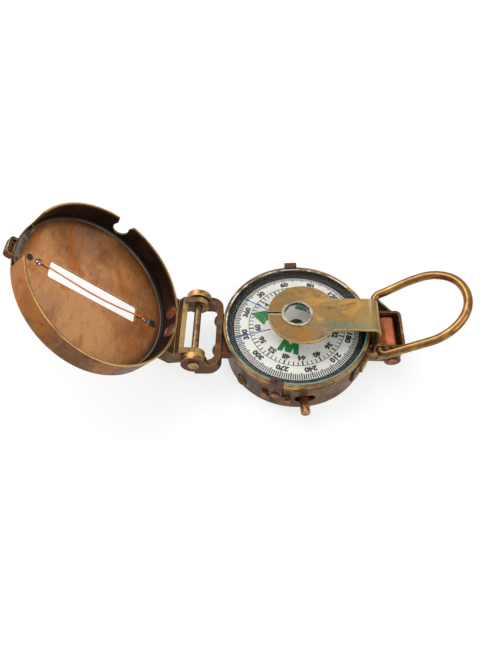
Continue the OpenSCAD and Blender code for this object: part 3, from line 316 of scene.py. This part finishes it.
def web_marks(m):
    """The bracket's face towards the hinge pin, pale gold in patches."""
    faces_down = m.vector("DOT_PRODUCT", m.facing, (LID_SIN, 0.0, -LID_COS))
    out = m.vector("DOT_PRODUCT", m.coord, (LID_COS, 0.0, LID_SIN))
    bar_near_lid, bar_near_pin = (0.03900, 0.03884), (0.0352, 0.0366, 0.45, 1.0)
    bar = m.mul(m.rng(out, *bar_near_lid), m.rng(out, *bar_near_pin))

    def over(c):
        gold_patches = m.rng(m.noise(380, 5, 0.6), 0.30, 0.50, 0.5, 0.95)
        return m.paint(c, (226, 186, 122), m.rng(faces_down, 0.72, 0.9), gold_patches, bar)

    return {"over": over}


def yoke_marks(m):
    """The up-facing tops of the case's hinge ears are painted golden, as highlight and wear, and the yoke's sides
    reddish.
    """
    x = m.split(m.coord)["X"]
    up = m.split(m.facing)["Z"]
    ears_near_case, ears_near_lid = (-0.0294, -0.0316), (-0.0420, -0.0400)
    top = m.mul(m.rng(up, 0.1, 0.5), m.rng(x, *ears_near_case), m.rng(x, *ears_near_lid))

    def over(c):
        # Painted highlight and wear: golden on the ears' up-facing tops
        c = m.paint(c, (204, 156, 92), top, m.rng(m.noise(330, 5, 0.65), 0.38, 0.56, 0.1, 0.8))
        side = m.rng(m.math("ABSOLUTE", up), 0.5, 0.2)
        return m.paint(c, (104, 56, 24), side, m.rng(m.noise(240, 5, 0.6), 0.66, 0.50, 0.15, 0.55))

    return {"over": over}


MARKS = {"bezel_brass": bezel_marks, "lid_brass": lid_marks, "arm_brass": arm_marks, "web_brass": web_marks,
         "yoke_brass": yoke_marks}

METALS = {
    # Warm brown, darker where the slots and clips shade it, golden where hands rub it
    "case_brass": dict(base=(108, 76, 46), edge=(206, 162, 102), wear=0.75, metallic=0.72, rough=(0.34, 0.56),
                       seed=1, layers=[
        ((70, 48, 32), 55, 0.42, 0.60, 0.85), ((150, 108, 58), 75, 0.52, 0.66, 0.75),
        ((112, 58, 38), 95, 0.56, 0.68, 0.6)]),
    "bezel_brass": dict(base=(152, 114, 66), edge=(244, 208, 142), edge_mm=0.22, wear=0.85, metallic=0.8,
                        rough=(0.26, 0.48), grain=0.5, seed=2, layers=[
        ((100, 70, 44), 120, 0.44, 0.58, 0.9), ((204, 162, 96), 170, 0.52, 0.64, 0.9),
        ((134, 72, 42), 130, 0.58, 0.68, 0.7)]),
    "lid_brass": dict(base=(104, 66, 26), edge=(226, 184, 124), edge_mm=0.24, wear=0.9, metallic=0.62,
                      rough=(0.34, 0.54), grain=0.3, bump=0.16, pits=0.35, seed=3, layers=[
        ((152, 88, 26), 70, 0.44, 0.58, 0.85, (1, 1, 0.6)), ((92, 84, 46), 85, 0.52, 0.63, 0.85, (1, 1, 0.6)),
        ((164, 116, 60), 100, 0.55, 0.66, 0.75), ((52, 36, 24), 150, 0.57, 0.66, 0.75)]),
    # Green-grey and olive tarnish over orange brass
    "arm_brass": dict(base=(146, 118, 70), edge=(246, 208, 140), edge_mm=0.5, wear=1.0, metallic=0.7,
                      rough=(0.28, 0.46), seed=7.4, layers=[
        ((164, 104, 42), 70, 0.44, 0.66, 0.85, (0.5, 1, 1)), ((104, 118, 98), 90, 0.44, 0.66, 0.75, (0.45, 1, 1)),
        ((198, 146, 72), 120, 0.50, 0.68, 0.8, (0.5, 1, 1)), ((92, 64, 36), 150, 0.54, 0.70, 0.7)]),
    "web_brass": dict(base=(112, 82, 50), edge=(226, 190, 126), edge_mm=0.22, wear=0.85, rough=(0.3, 0.52),
                      seed=7, layers=[
        ((62, 42, 30), 100, 0.44, 0.58, 0.85), ((168, 132, 78), 130, 0.54, 0.66, 0.8),
        ((104, 70, 62), 140, 0.56, 0.68, 0.7)]),
    "yoke_brass": dict(base=(82, 52, 28), edge=(226, 188, 118), edge_mm=0.26, wear=0.9, rough=(0.3, 0.52),
                       grain=0.5, seed=6, layers=[
        ((42, 27, 16), 85, 0.42, 0.56, 0.92), ((156, 112, 56), 120, 0.57, 0.68, 0.85),
        ((84, 84, 52), 100, 0.60, 0.70, 0.5), ((126, 64, 32), 130, 0.56, 0.70, 0.6)]),
    "bracket_brass": dict(base=(116, 84, 50), edge=(218, 174, 110), edge_mm=0.2, seed=5, layers=[
        ((62, 42, 28), 90, 0.44, 0.60, 0.85), ((190, 148, 90), 130, 0.54, 0.68, 0.8),
        ((130, 70, 44), 150, 0.58, 0.68, 0.7)]),
    "clip_brass": dict(base=(90, 56, 44), edge=(188, 132, 94), edge_mm=0.16, seed=8, layers=[
        ((42, 30, 28), 140, 0.44, 0.60, 0.85), ((142, 96, 66), 190, 0.54, 0.66, 0.75),
        ((82, 60, 66), 160, 0.58, 0.68, 0.6)]),
    "screw_brass": dict(base=(146, 102, 62), edge=(218, 170, 112), edge_mm=0.16, seed=9, layers=[
        ((78, 52, 36), 240, 0.46, 0.60, 0.85), ((190, 142, 88), 260, 0.54, 0.66, 0.8)]),
    "dark_rivet": dict(base=(72, 52, 40), edge=(150, 114, 82), edge_mm=0.16, metallic=0.6, seed=10, layers=[
        ((48, 36, 30), 220, 0.45, 0.60, 0.85), ((124, 92, 68), 260, 0.55, 0.68, 0.7)]),
    "click_brass": dict(base=(150, 98, 58), edge=(214, 158, 108), edge_mm=0.14, seed=22, layers=[
        ((84, 54, 38), 150, 0.44, 0.58, 0.85), ((192, 136, 86), 190, 0.54, 0.66, 0.8),
        ((140, 76, 48), 170, 0.58, 0.68, 0.7)]),
    "copper_spring": dict(base=(228, 138, 92), edge=(232, 172, 124), edge_mm=0.14, metallic=0.8,
                          rough=(0.3, 0.5), seed=11, layers=[
        ((168, 92, 56), 110, 0.45, 0.60, 0.8), ((226, 154, 104), 150, 0.54, 0.68, 0.7),
        ((110, 74, 54), 170, 0.60, 0.70, 0.6)]),
    "copper_rivet": dict(base=(146, 76, 44), edge=(190, 116, 78), edge_mm=0.12, metallic=0.55,
                         rough=(0.4, 0.6), seed=12, layers=[
        ((112, 52, 34), 260, 0.45, 0.60, 0.8), ((184, 104, 66), 300, 0.55, 0.68, 0.7)]),
    "pin_brass": dict(base=(138, 112, 74), edge=(226, 190, 126), metallic=0.8, rough=(0.24, 0.44), seed=13,
                      layers=[
        ((88, 62, 50), 150, 0.48, 0.60, 0.85), ((190, 156, 96), 190, 0.52, 0.66, 0.8),
        ((96, 70, 66), 170, 0.60, 0.70, 0.7)]),
    "lock_copper": dict(base=(146, 94, 56), edge=(240, 196, 140), edge_mm=0.2, metallic=0.82,
                        rough=(0.22, 0.42), seed=14, layers=[
        ((112, 70, 44), 160, 0.46, 0.60, 0.8), ((210, 156, 100), 200, 0.52, 0.66, 0.85)]),
    "bail_brass": dict(base=(148, 108, 60), edge=(220, 182, 128), edge_mm=0.2, metallic=0.92,
                       rough=(0.10, 0.22), grain=0.08, bump=0.015, pits=0.25, seed=15, layers=[
        ((106, 72, 42), 90, 0.44, 0.60, 0.8), ((182, 144, 82), 130, 0.54, 0.68, 0.75),
        ((122, 80, 70), 110, 0.56, 0.68, 0.7)]),
    "wire_copper": dict(base=(236, 130, 58), edge=(248, 180, 118), edge_mm=0.1, metallic=0.55,
                        rough=(0.3, 0.44), grain=0.15, seed=16, layers=[
        ((204, 104, 48), 120, 0.46, 0.62, 0.7), ((240, 158, 92), 150, 0.54, 0.68, 0.7)]),
    "lens_silver": dict(base=(176, 162, 142), edge=(248, 244, 236), edge_mm=0.26, wear=0.95, metallic=0.85,
                        rough=(0.18, 0.34), grain=0.3, seed=17, layers=[
        ((120, 96, 76), 200, 0.48, 0.60, 0.8), ((214, 208, 198), 180, 0.50, 0.64, 0.85)]),
    "post_steel": dict(base=(120, 116, 108), edge=(190, 186, 178), metallic=0.9, seed=18, layers=[
        ((84, 80, 74), 200, 0.45, 0.6, 0.8)]),
    "magnet_steel": dict(base=(78, 80, 86), edge=(150, 152, 158), metallic=0.9, seed=19, layers=[
        ((52, 54, 60), 200, 0.45, 0.6, 0.8)]),
    "plug_dark": dict(base=(64, 54, 46), edge=(140, 124, 106), edge_mm=0.12, metallic=0.6,
                      rough=(0.36, 0.56), seed=20, layers=[
        ((34, 28, 24), 260, 0.45, 0.58, 0.85), ((118, 104, 90), 300, 0.54, 0.66, 0.8)]),
    "solder_grey": dict(base=(120, 112, 102), edge=(196, 188, 174), edge_mm=0.14, metallic=0.7,
                        rough=(0.26, 0.46), bump=0.5, seed=21, layers=[
        ((60, 50, 42), 240, 0.45, 0.60, 0.85), ((160, 152, 140), 280, 0.54, 0.66, 0.85)]),
}

mats = {}
for name, look in METALS.items():
    m = material(name)
    marks = MARKS[name](m) if name in MARKS else {}
    mats[name] = patina(m, **look, **marks)


# ---------------------------------------------------------------- paint, ink and glass
def painted(name, base, other, rough, patches, share, speck=None):
    """Paint or ink in two close tones, with fine grain and perhaps specks."""
    m = material(name)
    fine = m.noise(2400, 3, 0.6)
    c = m.paint(lin(base), other, m.rng(m.noise(patches, 5, 0.6), 0.35, 0.65), share)
    if speck is not None:
        c = m.paint(c, speck, m.rng(m.noise(900, 2, 0.5), 0.70, 0.76), 0.8)
    return m.solid(c, 0.0, m.rng(fine, 0.3, 0.7, rough - 0.06, rough + 0.06), m.bump(fine, 0.12, 0.00004))


for name, *look in (
        ("black_ring", (22, 22, 22), (36, 35, 33), 0.6, 260, 0.7, (80, 76, 68)),
        ("card_white", (211, 210, 203), (198, 196, 187), 0.6, 160, 0.6, (168, 163, 152)),
        ("ink_black", (26, 27, 28), (44, 45, 45), 0.55, 1800, 0.7),
        ("ink_green", (8, 116, 62), (6, 100, 52), 0.5, 700, 0.8),
        ("ink_blue", (16, 60, 150), (34, 84, 178), 0.45, 1200, 0.7)):
    mats[name] = painted(name, *look)


def ground_edge():
    """The ground edge of the glass, painted by side: green on the near side, as glass looks when one looks along it
    into the glass, and frosted grey with painted white highlights on the far side.
    """
    m = material("glass_teal")
    x, y, _ = m.split(m.coord)
    c = m.paint(lin((84, 122, 102)), (120, 152, 136), m.rng(m.noise(120, 5, 0.6), 0.35, 0.65))
    grey = m.paint(lin((104, 88, 64)), (206, 206, 198), m.rng(m.noise(260, 5, 0.7), 0.42, 0.60))
    # Painted by position, as seen from the camera: green towards the near side, grey with white highlights towards
    # the far side
    c = m.mix(m.rng(m.math("ADD", y, m.mul(x, -0.35)), -0.008, 0.006), c, grey)
    rough = m.rng(m.noise(900, 3, 0.6), 0.3, 0.7, 0.2, 0.4)
    return m.solid(c, 0.0, rough, m.bump(m.noise(1400, 3, 0.6), 0.2, 0.00005))


def jewel():
    m = material("jewel_green")
    c = m.paint(lin((22, 62, 40)), (38, 92, 60), m.rng(m.noise(700, 4, 0.6), 0.35, 0.65))
    return m.solid(c, 0.0, 0.18, Coat_Weight=0.6, Coat_Roughness=0.08)


def clear_glass(name, gloss):
    """Glass that bends what is seen through it, shines a little, and lets lamp light through to the card."""
    m = material(name)
    bent = m.fill(m.node("ShaderNodeBsdfRefraction"), {"Color": WHITE, "IOR": 1.5, "Roughness": 0.0})
    shine = m.fill(m.node("ShaderNodeBsdfGlossy"), {
        "Color": m.mix(m.rng(m.noise(420, 5, 0.7), 0.4, 0.7), (0.9, 0.9, 0.9, 1), WHITE),
        "Roughness": m.rng(m.noise(700, 4, 0.6), 0.4, 0.7, 0.02, 0.12)})
    fresnel = m.fill(m.node("ShaderNodeFresnel"), {"IOR": gloss}).outputs[0]
    glass = m.mix_shader(fresnel, bent.outputs[0], shine.outputs[0])
    clear = m.node("ShaderNodeBsdfTransparent").outputs[0]
    return m.surface(m.mix_shader(m.rays("Is Shadow Ray", "Is Diffuse Ray"), glass, clear))


mats.update(glass_teal=ground_edge(), jewel_green=jewel(), window_glass=clear_glass("window_glass", 1.13),
            lens_glass=clear_glass("lens_glass", 1.12))

# A CAD node takes the material of its slot, apart from these
OTHER_LOOK = {
    "hinge_yoke": "yoke_brass", "lid_bracket": "web_brass", "wire_plugs": "plug_dark", "card_hub": "screw_brass",
    "lens_ring": "lens_silver", "lock_pin": "lock_copper", "lid_catch": "yoke_brass",
    "wall_stud": "bracket_brass", "click_spring": "click_brass", "bracket_cross_pin": "lock_copper",
}
for part in frame["record"]["subparts"]:
    name, data = part["node"], nodes[part["node"]].data
    data.materials.clear()
    data.materials.append(mats[OTHER_LOOK.get(name, part["material_slot"])])
    data.shade_smooth()
    data.set_sharp_from_angle(angle=math.radians(32))


# ---------------------------------------------------------------- mesh helpers
def polar(r, deg):
    return r * math.cos(math.radians(deg)), r * math.sin(math.radians(deg))


def make(name, verts, faces, body, mat, slot, replaces=(), smooth=35):
    """A mesh object from points in millimetres, riding on a body."""
    me = bpy.data.meshes.new(name)
    me.from_pydata([Vector(v) * MM for v in verts], [], faces)
    me.validate()
    bm = bmesh.new()
    bm.from_mesh(me)
    bmesh.ops.recalc_face_normals(bm, faces=bm.faces)
    bm.to_mesh(me)
    bm.free()
    me.materials.append(mats[mat])
    me.shade_smooth()
    if smooth is not None:
        me.set_sharp_from_angle(angle=math.radians(smooth))
    o = bpy.data.objects.new(name, me)
    scene.collection.objects.link(o)
    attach(o, body)
    if replaces:
        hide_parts(*replaces)
    return o


def lathe(profile, n=256, closed=True):
    """(verts, faces) of a profile of (r, z) turned round Z."""
    verts, faces = [], []
    k = len(profile)
    for i in range(n):
        a = TURN * i / n
        verts += [(r * math.cos(a), r * math.sin(a), z) for r, z in profile]
        j = (i + 1) % n
        for q in range(k if closed else k - 1):
            w = (q + 1) % k
            faces.append((i * k + q, j * k + q, j * k + w, i * k + w))
    return verts, faces


def tube(path, r, sides, cap=True):
    """(verts, faces) of a round tube along a path of points, with frames carried along it."""
    verts, faces = [], []
    p = [Vector(q) for q in path]
    last = len(p) - 1
    t = [(p[min(i + 1, last)] - p[max(i - 1, 0)]).normalized() for i in range(len(p))]
    u = t[0].orthogonal().normalized()
    for i, q in enumerate(p):
        u = (u - t[i] * u.dot(t[i])).normalized()
        w = t[i].cross(u)
        for k in range(sides):
            a = TURN * k / sides
            verts.append(tuple(q + (u * math.cos(a) + w * math.sin(a)) * r))
    for i in range(last):
        for k in range(sides):
            a, b = i * sides + k, i * sides + (k + 1) % sides
            faces.append((a, b, b + sides, a + sides))
    if cap:
        faces.append(tuple(reversed(range(sides))))
        faces.append(tuple(range(last * sides, last * sides + sides)))
    return verts, faces


class Print:
    """Flat ink shapes at one height, gathered into one thin mesh, round a middle of their own."""

    def __init__(self, z, mid=(0, 0)):
        self.z, self.mid, self.v, self.f = z, mid, [], []

    def poly(self, pts):
        k = len(self.v)
        self.v += [(x, y, self.z) for x, y in pts]
        self.f.append(tuple(range(k, k + len(pts))))

    def turned(self, deg, pts, r0=0.0):
        """Points (along, across) turned to an angle round the middle, along counted from r0 outward."""
        c, s = polar(1, deg)
        x, y = self.mid
        return [(x + (r0 + r) * c - t * s, y + (r0 + r) * s + t * c) for r, t in pts]

    def bar(self, deg, r0, r1, w):
        self.poly(self.turned(deg, [(r0, -w / 2), (r1, -w / 2), (r1, w / 2), (r0, w / 2)]))

    def ring(self, r0, r1, n=240):
        x, y = self.mid
        for i in range(n):
            a, b = TURN * i / n, TURN * (i + 1) / n
            corners = ((r0, a), (r1, a), (r1, b), (r0, b))
            self.poly([(x + r * math.cos(q), y + r * math.sin(q)) for r, q in corners])

    def disc(self, x, y, r, n=20):
        self.poly([(x + r * math.cos(TURN * i / n), y + r * math.sin(TURN * i / n)) for i in range(n)])

    def word(self, text, deg, r, h, width, bold):
        """Text with its top outward, its middle at that radius, h tall and width wide."""
        cu = bpy.data.curves.new("t", "FONT")
        cu.body = text
        cu.size = 1
        cu.offset = bold
        cu.resolution_u = 3
        ob = bpy.data.objects.new("t", cu)
        scene.collection.objects.link(ob)
        dg = bpy.context.evaluated_depsgraph_get()
        me = bpy.data.meshes.new_from_object(ob.evaluated_get(dg))
        xs = [v.co.x for v in me.vertices]
        ys = [v.co.y for v in me.vertices]
        x0, x1, y0, y1 = min(xs), max(xs), min(ys), max(ys)
        letters = [(((y - y0) / (y1 - y0) - 0.5) * h, -((x - x0) / (x1 - x0) - 0.5) * width)
                   for x, y in zip(xs, ys)]
        k = len(self.v)
        self.v += [(x, y, self.z) for x, y in self.turned(deg, letters, r)]
        self.f += [tuple(k + i for i in f.vertices) for f in me.polygons]
        bpy.data.objects.remove(ob)
        bpy.data.curves.remove(cu)
        bpy.data.meshes.remove(me)

    def done(self, name, body, mat, slot):
        o = make(name, self.v, self.f, body, mat, slot, smooth=None)
        bm = bmesh.new()
        bm.from_mesh(o.data)
        for f in bm.faces:
            f.normal_update()
            if f.normal.z < 0:
                f.normal_flip()
        bm.to_mesh(o.data)
        bm.free()


# ---------------------------------------------------------------- the card's print
NORTH = 163.4
CARD_Z = 11.7
INK_Z, GREEN_Z = CARD_Z + 0.012, CARD_Z + 0.018
# The print sits a little off the card's middle, as on the original
OFF = (0.2, 0.6)
TICKS_END = 21.36
INNER_STEPS = 64
INNER_STEP = 360 / INNER_STEPS


def to_edge(deg):
    """Distance from the print's middle to the end of the ticks, which is round the card's own middle."""
    c, s = polar(1, deg)
    along = OFF[0] * c + OFF[1] * s
    return -along + math.sqrt(TICKS_END ** 2 - OFF[0] ** 2 - OFF[1] ** 2 + along ** 2)


ink = Print(INK_Z, OFF)
for i in range(180):
    deg = NORTH - 2 * i
    start, width = (19.3, 0.44) if i % 5 == 0 else (19.75, 0.40)
    ink.bar(deg, start, to_edge(deg), width)
ink.ring(16.42, 16.64)
for i in range(INNER_STEPS):
    start, width = (14.75, 0.52) if i % 4 == 0 else (15.0, 0.34)
    ink.bar(NORTH - INNER_STEP * i, start, 16.5, width)
for a in range(0, 360, 30):
    text = str(a or 360)
    ink.word(text, NORTH - a, 18.2, 2.08, 1.45 * len(text), 0.065)
for i in range(4, INNER_STEPS, 4):
    ink.word(str(i), NORTH - INNER_STEP * i, 13.55, 2.1, 1.42 * len(str(i)), 0.065)
ink.disc(3.9, -8.9, 0.2)
ink.done("dial_figures", "card", "ink_black", "card_white")

green = Print(GREEN_Z, OFF)
ARROW_HEAD = [(16.8, 0), (10.7, 3.5), (10.7, -3.5)]
ARROW_SHAFT = [(10.75, 1.25), (5.0, 1.25), (5.0, -1.25), (10.75, -1.25)]
LETTER_W = [(2.45, 3.85), (2.45, 1.95), (0.15, 1.5), (2.35, 0.97), (2.35, -0.97), (0.15, -1.5), (2.45, -1.95),
            (2.45, -3.85), (-2.45, -2.65), (-2.45, -1.15), (-0.9, 0.0), (-2.45, 1.15), (-2.45, 2.65)]
green.poly(green.turned(NORTH, ARROW_HEAD))
green.poly(green.turned(NORTH, ARROW_SHAFT))
green.word("E", NORTH - 90, 8.6, 5.2, 4.8, 0.07)
green.word("S", NORTH - 180, 9.6, 4.9, 4.6, 0.05)
green.poly(green.turned(NORTH - 270, LETTER_W, 9.4))
green.done("dial_letters", "card", "ink_green", "card_white")

# Sighting lines painted on the glass
GLASS_TOP = 14.5
blue = Print(GLASS_TOP + 0.012)
blue.bar(150.3, 7.6, 20.4, 0.4)
blue.bar(197.0, 9.2, 22.2, 0.42)
blue.done("glass_lines", "bezel", "ink_blue", "window_glass")

# ---------------------------------------------------------------- bezel ring and the glass's ground edge
PER_BEAD = 5
BEAD_DIP = 0.20
above = [(24.34, 12.5), (24.34, 14.38), (24.42, 14.62), (24.58, 14.76), (24.80, 14.80), (25.00, 14.72),
         (25.13, 14.50), (25.18, 14.20), (25.20, 13.60), (25.20, 12.78), (25.08, 12.66), (25.00, 12.58)]
beads = [(25.14, 12.46), (25.20, 12.30), (25.20, 11.72), (25.14, 11.56)]
below = [(25.00, 11.46), (24.90, 11.37), (23.82, 11.37), (23.82, 12.0), (24.30, 12.2)]
profile = above + beads + below
v, f = lathe(profile, BEADS * PER_BEAD)
for i in range(BEADS * PER_BEAD):
    dip = BEAD_DIP * (0.5 - 0.5 * math.cos(TURN * i / PER_BEAD))
    for q in range(len(above), len(above) + len(beads)):
        x, y, z = v[i * len(profile) + q]
        g = 1 - dip / math.hypot(x, y)
        v[i * len(profile) + q] = (x * g, y * g, z)
make("bezel_band", v, f, "bezel", "bezel_brass", "bezel_brass", ("bezel_ring",), 50)

ground = [(23.80, 14.47), (23.84, 14.54), (24.00, 14.60), (24.20, 14.61), (24.33, 14.56), (24.335, 14.45),
          (24.0, 14.42)]
make("glass_edge", *lathe(ground), "bezel", "glass_teal", "window_glass", smooth=50)

# ---------------------------------------------------------------- lens
lens_x, lens_y = [(a + b) / (2 * MM) for a, b in list(zip(*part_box("lens")))[:2]]
crown = [(0.001, 18.26), (4.20, 18.26), (4.32, 18.36), (4.32, 19.62), (4.20, 19.70), (3.2, 19.735), (1.8, 19.76),
         (0.001, 19.77)]
v, f = lathe(crown, 160, False)
v = [(x + lens_x, y + lens_y, z) for x, y, z in v]
make("lens_disc", v, f, "lens_arm", "lens_glass", "lens_glass", ("lens",), 30)

# ---------------------------------------------------------------- bail
BAIL_AXIS = (27.6, 0, 13.9)
BAIL_TILT = math.radians(31.5)
BAIL_WIRE = 1.45
in_place = Matrix.Translation(BAIL_AXIS) @ Matrix.Rotation(-BAIL_TILT, 4, "Y")


def arc(cx, cy, r, a0, a1, n):
    out = []
    for i in range(n + 1):
        x, y = polar(r, a0 + (a1 - a0) * i / n)
        out.append((cx + x, cy + y))
    return out


def bowed(u, v):
    """The far leg stands out a little more than the near one."""
    g = min(1.0, max(0.0, (u - 2.0) / 12.0))
    return (u, v * (1 + (0.10 * g * g * (3 - 2 * g) if v > 0 else 0.0)))


# Half of the loop, from its end in the lug, in the bail's own plane
half = [(0, 8.9)] + arc(2.4, 10.1, 2.4, 180, 90, 12) + [(4 + 2.1 * i, 12.5) for i in range(6)]
half += arc(16.60, -3, 15.5, 90, 50, 20) + arc(19.116, 0, 11.584, 50, 0, 24)[1:]
path = half + [(u, -v) for u, v in half[-2::-1]]
v, f = tube([in_place @ Vector((*bowed(u, v), 0)) for u, v in path], BAIL_WIRE, 28)
make("bail_wire", v, f, "bail", "bail_brass", "bail_brass", ("bail",))

# ---------------------------------------------------------------- small things on the lid
HOLE_X = 20.1
SKIRT_IN_R = 27.8
# The wire's ends hook through the two holes and lie on the lid's back
hook = [(HOLE_X + 2.0, 12.36), (HOLE_X + 0.25, 12.36), (HOLE_X, 12.1), (HOLE_X, 11.1)]
SPAN, SPAN_B, STEPS, WIRE_R = 40.1, 10.86, 44, 0.29
span = []
for i in range(STEPS + 1):
    t = i / STEPS
    sag = -1.4 * math.sin(math.pi * t) - 0.25 * math.sin(TURN * t) * t
    span.append(lid_pt(SPAN * (t - 0.5), SPAN_B, sag + 0.25 * (1 - t)))
wire = [lid_pt(-x, b) for x, b in hook] + span + [lid_pt(x, b) for x, b in hook[::-1]]
make("sight_wire_span", *tube(wire, WIRE_R, 12), "lid", "wire_copper", "wire_copper", ("sighting_wire",))

# Round rims on the lid's floor, where the wire goes through
EYELET_R, EYELET_B = 1.02, 11.17
for side, x0 in (("left", HOLE_X), ("right", -HOLE_X)):
    turn = [TURN * i / 36 for i in range(37)]
    p = [lid_pt(x0 + EYELET_R * math.cos(q), EYELET_B, EYELET_R * math.sin(q)) for q in turn]
    make("eyelet_" + side, *tube(p, 0.16, 8, False), "lid", "plug_dark", "dark_rivet")

# Rims round the copper rivets, inside the lid's skirt
RIM_R, RIM_B = 2.56, 6.0
for side, y0, mat in (("near", -3.2, "solder_grey"), ("far", 4.4, "plug_dark")):
    p = []
    for i in range(41):
        q = TURN * i / 40
        y, b = y0 + RIM_R * math.cos(q), RIM_B + RIM_R * math.sin(q)
        p.append(lid_pt(-math.sqrt((SKIRT_IN_R - 0.02) ** 2 - y * y), b, y))
    make("rivet_rim_" + side, *tube(p, 0.24, 8, False), "lid", mat, "dark_rivet")


def lumpy(i, j, k):
    """A steady pseudo-random number from 0 to 1 for a lump of solder."""
    q = math.sin(i * 12.9898 + j * 78.233 + k * 37.719) * 43758.5453
    return q - math.floor(q)


# Solder along the lid's edge in the cut-out, from -13 to 24 degrees
ALONG, ACROSS = 44, 6
v, f = [], []
for i in range(ALONG + 1):
    t = math.radians(-13.0 + 37.0 * i / ALONG)
    for j in range(ACROSS + 1):
        e = math.sin(math.pi * j / ACROSS) * min(1, 4 * i / ALONG + 0.05, 4 * (ALONG - i) / ALONG + 0.05)
        r = 26.1 + 2.1 * j / ACROSS + (0.25 * lumpy(i // 2, 0, 1) if j == 0 else 0)
        h = 11.16 - e * (0.22 + 0.14 * lumpy(i, j, 2))
        v.append(lid_pt(r * math.cos(t), h, r * math.sin(t)))
for i in range(ALONG):
    for j in range(ACROSS):
        q = i * (ACROSS + 1) + j
        f.append((q, q + ACROSS + 1, q + ACROSS + 2, q + 1))
make("solder_strip", v, f, "lid", "solder_grey", "lid_brass", smooth=80)

# Solder round the plug at the hinge end: a middle point and three rings round it
PLUG_X, DAB_B, DAB_Y, AROUND = -22.9, 10.98, 0.1, 20
v, f = [lid_pt(PLUG_X, DAB_B, DAB_Y)], []
for j in range(1, 4):
    for i in range(AROUND):
        q = TURN * i / AROUND
        g = j / 3 * (1.75 + 0.35 * lumpy(i, 1, 5))
        v.append(lid_pt(PLUG_X + 1.25 * g * math.cos(q), DAB_B + 0.2 * (j / 3) ** 2, DAB_Y + 0.8 * g * math.sin(q)))
for i in range(AROUND):
    k = (i + 1) % AROUND
    f.append((0, 1 + i, 1 + k))
    for start in (1, 1 + AROUND):
        f.append((start + i, start + AROUND + i, start + AROUND + k, start + k))
make("solder_dab", v, f, "lid", "solder_grey", "lid_brass", smooth=80)

# ---------------------------------------------------------------- floor, light, camera
FLOOR_HALF, FLOOR_Z = 3, -0.00002
me = bpy.data.meshes.new("floor")
corners = [(FLOOR_HALF * x, FLOOR_HALF * y) for x, y in ((-1, -1), (1, -1), (1, 1), (-1, 1))]
me.from_pydata([(x, y, FLOOR_Z) for x, y in corners], [], [(0, 1, 2, 3)])
floor = bpy.data.objects.new("floor", me)
scene.collection.objects.link(floor)
fm = material("floor_paper")
paper = fm.mix(fm.rng(fm.noise(40, 3, 0.5), 0.3, 0.7), (0.86, 0.86, 0.86, 1), (0.88, 0.88, 0.88, 1))
paper = fm.fill(fm.node("ShaderNodeBsdfDiffuse"), {"Color": paper}).outputs[0]
glow = fm.fill(fm.node("ShaderNodeEmission"), {"Color": WHITE, "Strength": 1.0}).outputs[0]
# Pure white far off, where it meets the background, and paper with a shadow near the part
seen = fm.rays("Is Camera Ray", "Is Glossy Ray", "Is Transmission Ray")
NEAR, FAR, NEAR_SHARE = 0.14, 0.6, 0.72
white = fm.mul(seen, fm.rng(fm.vector("LENGTH", fm.coord), NEAR, FAR, NEAR_SHARE, 1.0))
me.materials.append(fm.surface(fm.mix_shader(white, paper, glow)))

scene.world = bpy.data.worlds.new("studio")
w = Nodes(scene.world, "ShaderNodeOutputWorld")
dome = w.rng(w.split(w.sky)["Z"], -0.1, 0.9, 0.34, 1.02, False)
dome = w.fill(w.node("ShaderNodeBackground"), {"Color": (0.98, 0.99, 1.0, 1), "Strength": dome}).outputs[0]
backdrop = w.fill(w.node("ShaderNodeBackground"), {"Color": WHITE, "Strength": 1.0}).outputs[0]
w.surface(w.mix_shader(w.rays("Is Camera Ray"), dome, backdrop))

LAMP_SIZE = 0.8
for name, loc, power, color in (
        ("key", (-0.45, 0.35, 0.75), 4.9, (1.0, 0.985, 0.96)),
        ("fill", (0.6, -0.5, 0.6), 3.5, (0.97, 0.985, 1.0))):
    la = bpy.data.lights.new(name, "AREA")
    la.shape = "DISK"
    la.size = LAMP_SIZE
    la.energy = power
    la.color = color
    o = bpy.data.objects.new(name, la)
    o.location = loc
    o.rotation_euler = (-Vector(loc)).to_track_quat("-Z", "Y").to_euler()
    scene.collection.objects.link(o)

# The camera, at the photograph's place and angle
WIDTH, HEIGHT = 500, 650
FILM, FOCAL = 36, 33.07
CAM_AT = (-0.01127, -0.11965, 0.18079)
CAM_LOOK, CAM_UP = (-0.02281, 0.58048, -0.81395), (-0.01046, 0.81398, 0.58079)
look = Vector(CAM_LOOK).normalized()
up = Vector(CAM_UP)
right = look.cross(up).normalized()
up = right.cross(look)
cam = bpy.data.cameras.new("cam")
cam.sensor_fit = "VERTICAL"
cam.sensor_height = FILM
cam.sensor_width = FILM * WIDTH / HEIGHT
cam.lens = FOCAL
cam.clip_start = 0.005
cam.clip_end = 20
co = bpy.data.objects.new("cam", cam)
co.matrix_world = Matrix([(right[i], up[i], -look[i], CAM_AT[i]) for i in range(3)] + [(0, 0, 0, 1)])
scene.collection.objects.link(co)
scene.camera = co
scene.view_settings.view_transform = "Standard"
